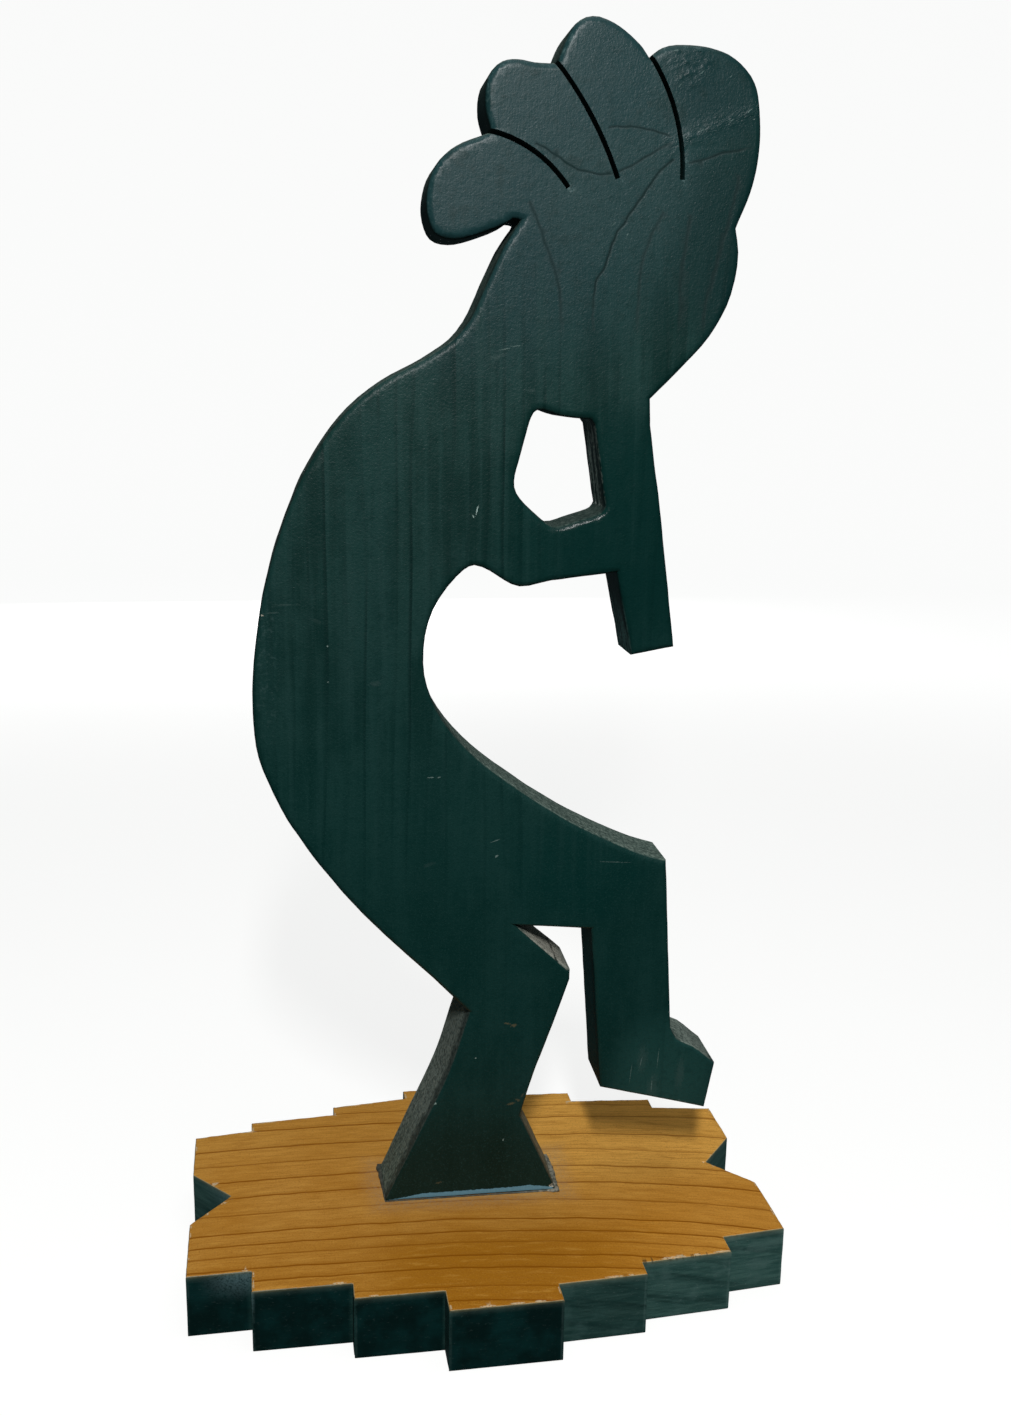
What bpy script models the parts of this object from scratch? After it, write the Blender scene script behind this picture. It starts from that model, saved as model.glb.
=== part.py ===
"""Carved flute player on a stepped stand.

A flat figure, band-sawn from one dressed pine board, is glued upright by the sole of one foot
to a stand that is sawn from a second board of the same stock.

The origin is on the table, under the middle of the stand. The figure faces +X, its front is
towards -Y and +Z is up. All lengths are in metres.
"""

import math

import bmesh
import bpy
from mathutils import Matrix, Vector
from mathutils.geometry import interpolate_bezier

# Driving dimensions of the figure

FIGURE_HEIGHT = 0.3306
FIGURE_THICKNESS = 0.019
BODY_EASE = 0.0016  # rounding of the sanded edges on the body and the crest
FOOT_EASE = 0.0005  # rounding of the sharper edges near the standing foot
SAW_KERF = 0.0013  # width of the three saw cuts that part the feathers

# Driving dimensions of the stand

STAND_THICKNESS = 0.019
STAND_EASE = 0.0005
NOTCH_WIDTH = 0.0262
NOTCH_DEPTH = 0.0116

# How the figure sits on the stand

FOOT_PLACE_X = -0.0022  # middle of the foot, from the middle of the stand
FOOT_PLACE_Y = 0.0022
FIGURE_TURN = math.radians(-1.8)  # it was glued slightly askew
GLUE_GAP = 0.0003

# How finely curves are stepped

BODY_STEP = 0.004
CREST_STEP = 0.002
KERF_STEPS = 10
EASE_STEPS = 3
LEAST_MITRE = 0.5  # keeps the drawn-in corner of a very sharp point from running away
EASE_GROWS_FROM = 0.04  # the edge rounding grows from the foot's to the body's
EASE_GROWS_TO = 0.28  # between these two shares of the figure's height

# The pose, as the outline of the board. Points are in hundredths of the figure's height, from
# the left corner of the standing foot's sole. Each stretch runs on from the end of the one
# before, anticlockwise.

SOLE_LEFT = (0, 0)
SOLE_RIGHT = (15.7, 0)
LEGS_FRONT = (
    ("straight", [SOLE_LEFT, SOLE_RIGHT, (12.2, 7.7)]),
    ("curved", [(12.2, 7.7), (13.4, 11.8), (15.1, 16.6), (16.5, 20.8)]),
    ("straight", [(16.5, 20.8), (16.5, 21.7), (11.4, 26.2), (18.3, 25.5), (19.6, 10.1)]),
    ("straight", [(19.6, 10.1), (29.5, 7.5), (30.3, 11.9)]),
    ("curved", [(30.3, 11.9), (28.1, 13.7), (26.6, 14.5), (26.0, 15.6)]),
    ("straight", [(26.0, 15.6), (24.9, 31.7)]),
)
THIGH = [(24.9, 31.7), (22.7, 32.4), (16.8, 35.2), (11.4, 38.7)]
BELLY = [(7.1, 42.2), (4.4, 45.8), (3.3, 49.7), (4.1, 54.2), (6.6, 57.5)]
ELBOW = [(7.5, 57.9), (8.8, 57.4), (10.0, 56.6), (11.3, 56.1), (14.0, 56.6)]
BELLY_AND_ARM = (
    ("curved", THIGH + BELLY + ELBOW),
    ("straight", [(14.0, 56.6), (19.5, 57.3)]),
)
FLUTE = (
    ("straight", [(19.5, 57.3), (21.0, 50.2), (24.7, 50.9)]),
    ("curved", [(24.7, 50.9), (24.1, 55.2), (23.1, 62.1), (21.9, 69.4)]),
    ("straight", [(21.9, 69.4), (21.8, 71.5)]),
)
FACE = (
    (
        "curved",
        [(21.8, 71.5), (24.0, 73.7), (26.5, 76.5), (28.2, 79.8), (28.6, 83.1), (28.3, 84.9)],
    ),
)
NECK = [(10.4, 84.4), (9.5, 83.0), (8.0, 79.8), (6.9, 77.4), (5.7, 76.0), (3.4, 74.4)]
HUMP = [(0.1, 72.6), (-2.7, 70.4), (-6.0, 65.9), (-8.3, 60.6), (-9.6, 56.2), (-10.5, 51.1)]
SEAT = [(-10.8, 45.8), (-10.4, 41.8), (-8.2, 36.5), (-4.8, 31.3), (-0.7, 26.4), (4.0, 21.7)]
BACK = (
    ("curved", [(10.2, 85.1), (10.8, 85.0), (10.4, 84.4)]),
    ("curved", NECK + HUMP + SEAT + [(7.5, 18.1)]),
    ("curved", [(7.5, 18.1), (5.7, 12.4), (2.8, 6.0), SOLE_LEFT]),
)

# The four feathers of the crest, from the brow back to the nape. Each gives the points of its
# rounded edge between the notch before it and the notch after it.

CREST_NOTCHES = [(28.3, 84.9), (20.7, 97.3), (13.4, 96.5), (8.4, 91.4), (10.2, 85.1)]
FEATHER_EDGES = [
    [(29.5, 88.2), (29.9, 92.0), (29.2, 95.8), (27.0, 97.8), (23.4, 98.3), (21.7, 98.0)],
    [(19.5, 98.5), (17.8, 99.6), (16.1, 100.0), (14.8, 99.4), (14.1, 98.3)],
    [(11.7, 96.5), (10.4, 96.7), (9.2, 96.5), (8.1, 95.3), (7.9, 93.2)],
    [(5.3, 90.0), (3.8, 88.3), (3.4, 85.6), (4.1, 83.8), (5.6, 83.4), (9.6, 84.7)],
]

# Each saw cut starts at a notch and bends through a middle point to its blind end.

SAW_CUTS = {
    "front": [CREST_NOTCHES[1], (22.9, 93.1), (23.6, 88.4)],
    "middle": [CREST_NOTCHES[2], (16.7, 91.9), (18.4, 88.3)],
    "rear": [CREST_NOTCHES[3], (11.7, 90.1), (14.5, 87.5)],
}
CUT_OVERRUN = 0.004  # how far a cut's tool runs past the outline

# The opening inside the bent arm, clockwise, in the same hundredths

ELBOW_SIDE = [(18.3, 62.8), (18.0, 62.3), (15.7, 61.5), (14.1, 61.1), (13.0, 61.7)]
CHEST_SIDE = [(10.9, 63.8), (10.7, 64.8), (11.2, 66.9), (12.0, 69.9), (12.5, 70.5)]
ARM_OPENING = (
    ("straight", [(16.9, 69.8), (17.2, 69.4), (18.3, 62.8)]),
    ("curved", ELBOW_SIDE + CHEST_SIDE + [(14.6, 70.0), (16.9, 69.8)]),
)

# The treads of the stand's stepped outline, from the left end to the right. Each gives its
# length, then how far its front edge and its back edge lie from the middle line, at its left
# and at its right. The stand was sawn by hand, so no two treads are quite alike.

TREADS = (
    (0.0178, (0.0342, 0.0342), (0.0386, 0.0406)),
    (0.0272, (0.0432, 0.0437), (0.0455, 0.0470)),
    (0.0246, (0.0502, 0.0507), (0.0520, 0.0543)),
    (0.0314, (0.0592, 0.0596), (0.0594, 0.0592)),
    (0.0253, (0.0526, 0.0521), (0.0520, 0.0500)),
    (0.0265, (0.0469, 0.0457), (0.0445, 0.0416)),
    (0.0191, (0.0387, 0.0374), (0.0362, 0.0328)),
)
LEFT_NOTCH_Y = 0.0036  # middle of the V-shaped notch in each end, from the middle line
RIGHT_NOTCH_Y = 0.0004


def clear_scene():
    for old in list(bpy.data.objects):
        bpy.data.objects.remove(old, do_unlink=True)


def paint(name, colour, roughness):
    """A plain finish: a Principled BSDF with one colour and one roughness."""
    material = bpy.data.materials.new(name)
    material.use_nodes = True
    shader = material.node_tree.nodes["Principled BSDF"]
    shader.inputs["Base Color"].default_value = (*colour, 1.0)
    shader.inputs["Roughness"].default_value = roughness
    shader.inputs["Metallic"].default_value = 0.0
    material.diffuse_color = (*colour, 1.0)
    return material


def figure_point(point):
    """A point of the pose in metres, with the middle of the foot's sole at zero."""
    sole_middle = (SOLE_LEFT[0] + SOLE_RIGHT[0]) / 2
    return Vector((point[0] - sole_middle, point[1])) * FIGURE_HEIGHT / 100


def smooth_run(points, step):
    """Points along a smooth curve through the given ones, the last left out."""
    first = points[0] * 2 - points[1]
    last = points[-1] * 2 - points[-2]
    reach = [first, *points, last]
    run = []
    for before, start, end, after in zip(reach, reach[1:], reach[2:], reach[3:]):
        gap_in = (start - before).length ** 0.5
        gap = (end - start).length ** 0.5
        gap_out = (after - end).length ** 0.5
        leaving = (
            end * gap_in**2
            - before * gap**2
            + start * (2 * gap_in**2 + 3 * gap_in * gap + gap**2)
        ) / (3 * gap_in * (gap_in + gap))
        arriving = (
            start * gap_out**2
            - after * gap**2
            + end * (2 * gap_out**2 + 3 * gap_out * gap + gap**2)
        ) / (3 * gap_out * (gap_out + gap))
        count = max(2, math.ceil((end - start).length / step))
        run += interpolate_bezier(start, leaving, arriving, end, count + 1)[:-1]
    return [Vector((point.x, point.y)) for point in run]


def outline_of(stretches, step):
    """The stretches of an outline one after another, as points in metres."""
    outline = []
    for kind, shares in stretches:
        points = [figure_point(share) for share in shares]
        if kind == "curved":
            outline += smooth_run(points, step)
        else:
            outline += points[:-1]
    return outline


def crest_outline():
    """The four feathers, each a smooth round between two sharp notches."""
    outline = []
    for edge, start, end in zip(FEATHER_EDGES, CREST_NOTCHES, CREST_NOTCHES[1:]):
        points = [figure_point(share) for share in (start, *edge, end)]
        outline += smooth_run(points, CREST_STEP)
    return outline


def stand_outline():
    """The stepped outline, anticlockwise from its front left corner, about its own middle."""
    length = sum(tread[0] for tread in TREADS)
    left = -length / 2
    front = []
    back = []
    for tread, front_depths, back_depths in TREADS:
        right = left + tread
        front += [Vector((left, -front_depths[0])), Vector((right, -front_depths[1]))]
        back += [Vector((left, back_depths[0])), Vector((right, back_depths[1]))]
        left = right
    ends = []
    for side, middle in ((1, RIGHT_NOTCH_Y), (-1, LEFT_NOTCH_Y)):
        end_x = side * length / 2
        half = side * NOTCH_WIDTH / 2
        ends.append(
            [
                Vector((end_x, middle - half)),
                Vector((end_x - side * NOTCH_DEPTH, middle)),
                Vector((end_x, middle + half)),
            ]
        )
    return front + ends[0] + back[::-1] + ends[1]


def middle_of(outline):
    lows = [min(point[axis] for point in outline) for axis in (0, 1)]
    highs = [max(point[axis] for point in outline) for axis in (0, 1)]
    return Vector(((lows[0] + highs[0]) / 2, (lows[1] + highs[1]) / 2))


def drawn_in(outline, amounts):
    """The outline moved into the wood by an amount at each point, with mitred corners."""
    moved = []
    for index, point in enumerate(outline):
        arriving = (point - outline[index - 1]).normalized()
        leaving = (outline[(index + 1) % len(outline)] - point).normalized()
        normals = Vector((-arriving.y, arriving.x)), Vector((-leaving.y, leaving.x))
        spread = max(LEAST_MITRE, 1 + normals[0].dot(normals[1]))
        moved.append(point + (normals[0] + normals[1]) * amounts[index] / spread)
    return moved


def plate(outlines, thickness, ease_of):
    """A board of this thickness about the XY plane, cut to the outlines, with eased edges.

    The first outline runs anticlockwise. Any further one is an opening and runs clockwise.
    ease_of gives the radius of the eased edge at a point of an outline.
    """
    mesh = bmesh.new()
    caps = {1: [], -1: []}
    for outline in outlines:
        eases = [ease_of(point) for point in outline]
        rings = []
        for side in (1, -1):
            layers = []
            for step in range(EASE_STEPS + 1):
                angle = math.pi / 2 * step / EASE_STEPS
                inward = [ease * (1 - math.cos(angle)) for ease in eases]
                heights = [thickness / 2 - ease * (1 - math.sin(angle)) for ease in eases]
                layer = []
                for point, height in zip(drawn_in(outline, inward), heights):
                    layer.append(mesh.verts.new((point.x, point.y, side * height)))
                layers.append(layer)
            rings += layers[::-1] if side == 1 else layers
            caps[side].append(layers[-1])
        for upper, lower in zip(rings, rings[1:]):
            for index in range(len(outline)):
                after = (index + 1) % len(outline)
                mesh.faces.new((upper[index], lower[index], lower[after], upper[after]))
    for side, loops in caps.items():
        edges = []
        for loop in loops:
            for index, vertex in enumerate(loop):
                edges.append(mesh.edges.get((vertex, loop[(index + 1) % len(loop)])))
        bmesh.ops.triangle_fill(mesh, edges=edges, use_beauty=True, normal=(0, 0, side))
    bmesh.ops.recalc_face_normals(mesh, faces=mesh.faces)
    return mesh


def arc_through(start, middle, end, steps):
    """Evenly spaced points on the circle through three points."""
    chord_a = middle - start
    chord_b = end - start
    cross = 2 * (chord_a.x * chord_b.y - chord_a.y * chord_b.x)
    centre = start + Vector(
        (
            (chord_b.y * chord_a.length_squared - chord_a.y * chord_b.length_squared) / cross,
            (chord_a.x * chord_b.length_squared - chord_b.x * chord_a.length_squared) / cross,
        )
    )
    spoke = start - centre
    swing = spoke.angle_signed(end - centre)
    turns = [Matrix.Rotation(-swing * step / steps, 2) for step in range(steps + 1)]
    return [centre + turn @ spoke for turn in turns]


def saw_cut(shares):
    """The ribbon that one pass of the saw removes, as a solid about the XY plane."""
    points = arc_through(*(figure_point(share) for share in shares), KERF_STEPS)
    lead_in = points[0] + (points[0] - points[1]).normalized() * CUT_OVERRUN
    points = [lead_in, *points]
    mesh = bmesh.new()
    rows = []
    for index, point in enumerate(points):
        before = points[max(index - 1, 0)]
        after = points[min(index + 1, len(points) - 1)]
        along = (after - before).normalized()
        across = Vector((-along.y, along.x)) * SAW_KERF / 2
        row = []
        for side in (-1, 1):
            place = point + across * side
            row.append(mesh.verts.new((place.x, place.y, -FIGURE_THICKNESS)))
        rows.append(row)
    faces = [mesh.faces.new((a[0], b[0], b[1], a[1])) for a, b in zip(rows, rows[1:])]
    lifted = bmesh.ops.extrude_face_region(mesh, geom=faces)["geom"]
    bmesh.ops.translate(
        mesh,
        verts=[item for item in lifted if isinstance(item, bmesh.types.BMVert)],
        vec=(0, 0, 2 * FIGURE_THICKNESS),
    )
    bmesh.ops.recalc_face_normals(mesh, faces=mesh.faces)
    return mesh


def add_object(name, mesh, parent=None, material=None):
    data = bpy.data.meshes.new(name)
    mesh.to_mesh(data)
    mesh.free()
    item = bpy.data.objects.new(name, data)
    bpy.context.collection.objects.link(item)
    item.parent = parent
    if material:
        data.materials.append(material)
    return item


def body_ease(point):
    """Edge rounding of the figure: small at the foot, full above the knees."""
    share = (point.y / FIGURE_HEIGHT - EASE_GROWS_FROM) / (EASE_GROWS_TO - EASE_GROWS_FROM)
    share = min(1, max(0, share))
    return FOOT_EASE + (BODY_EASE - FOOT_EASE) * share


def make_stand():
    """The stepped board, with its underside on the table."""
    outline = stand_outline()
    middle = middle_of(outline)
    outline = [point - middle for point in outline]
    mesh = plate([outline], STAND_THICKNESS, lambda point: STAND_EASE)
    bmesh.ops.translate(mesh, verts=mesh.verts, vec=(0, 0, STAND_THICKNESS / 2))
    varnish = paint("varnished_pine", (0.42, 0.18, 0.03), 0.35)
    return add_object("stepped_stand", mesh, material=varnish)


def make_figure():
    """The figure's board, stood up on edge, with the crest's three saw cuts."""
    place = bpy.data.objects.new("figure_place", None)
    bpy.context.collection.objects.link(place)
    place.location = (FOOT_PLACE_X, FOOT_PLACE_Y, STAND_THICKNESS + GLUE_GAP)
    place.rotation_euler = (math.pi / 2, 0, FIGURE_TURN)

    outline = outline_of(LEGS_FRONT + BELLY_AND_ARM + FLUTE + FACE, BODY_STEP)
    outline += crest_outline()
    outline += outline_of(BACK, BODY_STEP)
    opening = outline_of(ARM_OPENING, CREST_STEP)
    mesh = plate([outline, opening], FIGURE_THICKNESS, body_ease)
    green = paint("dark_green_paint", (0.008, 0.027, 0.024), 0.4)
    figure = add_object("kokopelli_figure", mesh, parent=place, material=green)

    for name, shares in SAW_CUTS.items():
        cutter = add_object(f"{name}_saw_cut", saw_cut(shares), parent=place)
        cutter.hide_render = True
        cutter.display_type = "WIRE"
        cut = figure.modifiers.new(f"{name} saw cut", "BOOLEAN")
        cut.operation = "DIFFERENCE"
        cut.solver = "EXACT"
        cut.object = cutter
    return figure


clear_scene()
make_stand()
make_figure()
bpy.context.view_layer.update()
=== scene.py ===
# %% [markdown]
# # Dressing a sawn flute player and its stepped stand
#
# The real object is folk work in pine. A flute player with a crest of four feathers was sawn from one
# dressed board, sanded, painted dark green and glued by the sole of one foot to a small stand. The stand was
# sawn from the same stock. Its top is varnished honey yellow, and its stepped edges are painted like the
# figure.
#
# The two boards come measured, as plain solids. This lesson gives them what the saw, the sandpaper, the
# brush and the years left on them. Each step first says what a thing is, how it could be made, and why this
# way was chosen.

# %% Load the measured boards
import math
import random
from functools import reduce

import bmesh
import bpy
import numpy as np
from mathutils import Matrix, Vector, kdtree, noise


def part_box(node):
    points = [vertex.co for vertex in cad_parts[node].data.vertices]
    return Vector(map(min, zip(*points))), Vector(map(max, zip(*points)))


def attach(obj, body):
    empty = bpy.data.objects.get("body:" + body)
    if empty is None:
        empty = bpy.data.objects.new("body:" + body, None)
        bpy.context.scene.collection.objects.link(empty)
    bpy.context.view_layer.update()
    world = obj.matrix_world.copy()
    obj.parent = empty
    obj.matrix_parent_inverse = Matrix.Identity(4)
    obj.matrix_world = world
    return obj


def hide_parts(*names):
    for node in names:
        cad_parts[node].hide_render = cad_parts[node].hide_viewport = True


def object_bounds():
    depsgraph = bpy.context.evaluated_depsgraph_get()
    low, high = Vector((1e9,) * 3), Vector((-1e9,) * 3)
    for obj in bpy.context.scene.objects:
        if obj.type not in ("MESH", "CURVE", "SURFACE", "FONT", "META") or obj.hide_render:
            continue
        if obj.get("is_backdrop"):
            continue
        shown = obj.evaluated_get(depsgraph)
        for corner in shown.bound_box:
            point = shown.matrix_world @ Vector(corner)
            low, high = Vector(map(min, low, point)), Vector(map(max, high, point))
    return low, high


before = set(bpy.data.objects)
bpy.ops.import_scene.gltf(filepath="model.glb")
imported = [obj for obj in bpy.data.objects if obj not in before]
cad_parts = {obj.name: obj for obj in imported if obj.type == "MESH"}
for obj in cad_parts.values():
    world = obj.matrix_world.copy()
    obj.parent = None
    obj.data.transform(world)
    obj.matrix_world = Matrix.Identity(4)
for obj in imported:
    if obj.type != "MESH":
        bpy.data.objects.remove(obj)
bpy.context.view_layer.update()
print("boards:", ", ".join(sorted(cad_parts)))

# %% [markdown]
# ## Where things are
#
# Every place below is worked out from the boards themselves, so that the finish follows them. On the figure,
# a place is given as its maker would see it, looking at the front of the board: so far along and so far up
# from the left corner of the sole, in hundredths of the figure's height. The figure was glued a little
# askew, so the board's own directions are measured from its largest flat face.

# %% Measure the figure's board
MM = 0.001
FIGURE = "kokopelli_figure"
STAND = "stepped_stand"
SOLE_SHARES = 15.7

figure_low, figure_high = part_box(FIGURE)
stand_low, stand_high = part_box(STAND)
SHARE = (figure_high.z - figure_low.z) / 100
SOLE_Z = figure_low.z
STAND_TOP = stand_high.z


def front_direction(node):
    """The direction that a board's flat front faces, from the area of its flat faces."""
    total = Vector()
    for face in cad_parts[node].data.polygons:
        if face.normal.y < -0.99:
            total += face.normal * face.area
    return total.normalized()


FRONT = front_direction(FIGURE)
UP = Vector((0, 0, 1))
ALONG = UP.cross(-FRONT) * -1
TURN = math.atan2(ALONG.y, ALONG.x)

corners = [vertex.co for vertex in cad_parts[FIGURE].data.vertices]
depths = [point.dot(FRONT) for point in corners]
sole = [point.dot(ALONG) for point in corners if point.z < SOLE_Z + MM]
BOARD = max(depths) - min(depths)
CORNER = (
    ALONG * ((min(sole) + max(sole)) / 2 - SOLE_SHARES / 2 * SHARE)
    + FRONT * ((min(depths) + max(depths)) / 2)
    + UP * SOLE_Z
)
print(f"figure: {100 * SHARE / MM:.1f} by {BOARD / MM:.1f} mm, turned {math.degrees(TURN):.2f} degrees")
print("left corner of the sole, mm:", [round(value / MM, 2) for value in CORNER])

# %% [markdown]
# ## The camera
#
# The photograph was taken from a little above the middle of the figure and a little to its left, close
# enough for the board's inner walls to show. A camera could be aimed by eye. This one was worked out from
# the corners of both boards, so its place and its three turns are given as numbers.

# %% Stand the camera where the photographer stood
CAMERA_PLACE = Vector((-0.062117, -0.378122, 0.259135))
CAMERA_TURN, CAMERA_TILT, CAMERA_ROLL = 10.323, 13.185, 0.996
LENS = 35.234


def linked(thing):
    """Put a new object into the scene."""
    bpy.context.scene.collection.objects.link(thing)
    return thing


camera = linked(bpy.data.objects.new("camera", bpy.data.cameras.new("camera")))
camera.data.lens = LENS
camera.data.clip_start = 0.01
camera.matrix_world = (
    Matrix.Translation(CAMERA_PLACE)
    @ Matrix.Rotation(math.radians(-CAMERA_TURN), 4, "Z")
    @ Matrix.Rotation(math.radians(90 - CAMERA_TILT), 4, "X")
    @ Matrix.Rotation(math.radians(CAMERA_ROLL), 4, "Z")
)
bpy.context.scene.camera = camera
bpy.context.scene.view_settings.view_transform = "Standard"
print("camera looks along:", [round(value, 3) for value in -camera.matrix_world.col[2].xyz])

# %% [markdown]
# ## A pale room
#
# The object stands in a plain studio: a pale floor that curves up into a round wall, so that any view has
# the same quiet background. A flat floor with a separate wall would show a line where they meet. One line
# from the middle of the floor to the top of the wall, spun once round, gives the whole room. The room only
# shows itself: it throws no light on the object, because the real one stood in a dim room where its sides
# stayed dark.

# %% Spin the floor and its wall
FLOOR_RADIUS, COVE_RADIUS, WALL_TOP = 1.6, 0.7, 2.6
COVE_STEPS = 8


def new_object(name, bm):
    """A bmesh as a new object in the scene, with its place in its mesh."""
    mesh = bpy.data.meshes.new(name)
    bm.to_mesh(mesh)
    bm.free()
    return linked(bpy.data.objects.new(name, mesh))


def smoothed(bm):
    """Shade all faces smoothly."""
    for face in bm.faces:
        face.smooth = True
    return bm


def spun_room():
    """A round floor with a cove and a wall, from one line spun round the middle."""
    line = [(0, 0), (0.5, 0), (1, 0), (FLOOR_RADIUS, 0)]
    for step in range(1, COVE_STEPS + 1):
        turn = math.radians(90 * step / COVE_STEPS)
        line.append((FLOOR_RADIUS + COVE_RADIUS * math.sin(turn), COVE_RADIUS * (1 - math.cos(turn))))
    line.append((FLOOR_RADIUS + COVE_RADIUS, WALL_TOP))
    bm = bmesh.new()
    points = [bm.verts.new((radius, 0, height)) for radius, height in line]
    edges = [bm.edges.new(pair) for pair in zip(points[:-1], points[1:])]
    once_round = {"cent": (0, 0, 0), "axis": (0, 0, 1), "angle": math.tau, "steps": 96, "use_merge": True}
    bmesh.ops.spin(bm, geom=points + edges, **once_round)
    bmesh.ops.remove_doubles(bm, verts=bm.verts, dist=1e-5)
    bmesh.ops.recalc_face_normals(bm, faces=bm.faces)
    bmesh.ops.reverse_faces(bm, faces=bm.faces)
    return new_object("studio_floor", smoothed(bm))


room = spun_room()
room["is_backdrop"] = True
room.visible_glossy = False
room.visible_diffuse = False
print("room:", len(room.data.polygons), "faces")

# %% [markdown]
# ## Soft light from above
#
# In the photograph the head is pale with sheen, the body deep green and the foot darker still, and whatever
# faces left or down is nearly black. So the main lamp hung near the head, in front and above. Its place
# follows from the shadow that the raised foot throws on the stand. A far lamp would light head and foot
# alike, and a lamp of point size would throw a hard shadow, so this one is near, as high as a hand and a
# third as wide. A large panel overhead lights what faces up, and a very dim sky fills the rest. The
# photograph doesn't show the back, so a low panel behind lights only that side, and it shows in no
# reflection. A panel's brightness is given as the light that a white card would send back if it faced the
# panel from the place that the panel is aimed at.


# %% Hang the light panels
def soft_panel(name, place, aim, width, height, brightness):
    """A soft rectangular light in a place, turned to the spot that it is aimed at."""
    away = Vector(place) - Vector(aim)
    data = bpy.data.lights.new(name, "AREA")
    data.shape = "RECTANGLE"
    data.size = width
    data.size_y = height
    data.energy = brightness * math.pi**2 * away.length_squared
    panel = linked(bpy.data.objects.new(name, data))
    panel.matrix_world = Matrix.Translation(Vector(place)) @ away.to_track_quat("Z", "Y").to_matrix().to_4x4()
    panel.visible_camera = False
    return panel


lights = [
    soft_panel("lamp_by_the_head", (-0.062, -0.52, 0.57), (0.03, 0, 0.28), 0.045, 0.15, 1.08),
    soft_panel("panel_overhead", (0.1, 0, 1.3), (0, 0, 0.1), 1.1, 0.9, 0.29),
    soft_panel("panel_behind", (0, 1.3, 0.19), (0, 0, 0.2), 0.6, 0.3, 0.22),
]
lights[-1].visible_glossy = False
world = bpy.data.worlds.new("dim_room")
world.use_nodes = True
sky = world.node_tree.nodes["Background"].inputs
sky["Color"].default_value = (0.62, 0.94, 1, 1)
sky["Strength"].default_value = 0.045
bpy.context.scene.world = world
print("light panels:", ", ".join(light.name for light in lights))

# %% [markdown]
# ## Shader maths as ordinary maths
#
# A finish is a small network of shader nodes. Wiring each node by hand hides the idea, so one small class
# wraps a socket and lets it be added, multiplied and compared like a number. A second class holds one
# finish. Its `add` makes any other node from its type, its settings and the values or links of its sockets.


# %% Wrap sockets and finishes
class Wire:
    """One value, vector or colour on its way through a finish."""

    def __init__(self, finish, socket):
        self.finish = finish
        self.socket = socket

    def maths(self, operation, first, second):
        """A Math node, or a Vector Math node where either side is a vector."""
        sides = [side.socket.type for side in (first, second) if isinstance(side, Wire)]
        kind = "ShaderNodeVectorMath" if "VECTOR" in sides else "ShaderNodeMath"
        return self.finish.add(kind, {"operation": operation}, {0: first, 1: second})

    def __add__(self, other):
        return self.maths("ADD", self, other)

    def __radd__(self, other):
        return self.maths("ADD", other, self)

    def __sub__(self, other):
        return self.maths("SUBTRACT", self, other)

    def __rsub__(self, other):
        return self.maths("SUBTRACT", other, self)

    def __mul__(self, other):
        return self.maths("MULTIPLY", self, other)

    def __rmul__(self, other):
        return self.maths("MULTIPLY", other, self)

    def __truediv__(self, other):
        return self.maths("DIVIDE", self, other)

    def __rtruediv__(self, other):
        return self.maths("DIVIDE", other, self)

    def __pow__(self, other):
        return self.maths("POWER", self, other)

    def __abs__(self):
        return self.finish.add("ShaderNodeMath", {"operation": "ABSOLUTE"}, {0: self})

    def most(self, other):
        """The larger of two values."""
        return self.maths("MAXIMUM", self, other)

    def part(self, axis):
        """The x, y or z of a vector."""
        return self.finish.add("ShaderNodeSeparateXYZ", {}, {0: self}, "XYZ".index(axis))

    def over(self, start, stop, low=0, high=1):
        """A soft step: low before start, high after stop."""
        sockets = {"Value": self, "From Min": start, "From Max": stop, "To Min": low, "To Max": high}
        return self.finish.add("ShaderNodeMapRange", {"interpolation_type": "SMOOTHSTEP"}, sockets)


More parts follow.
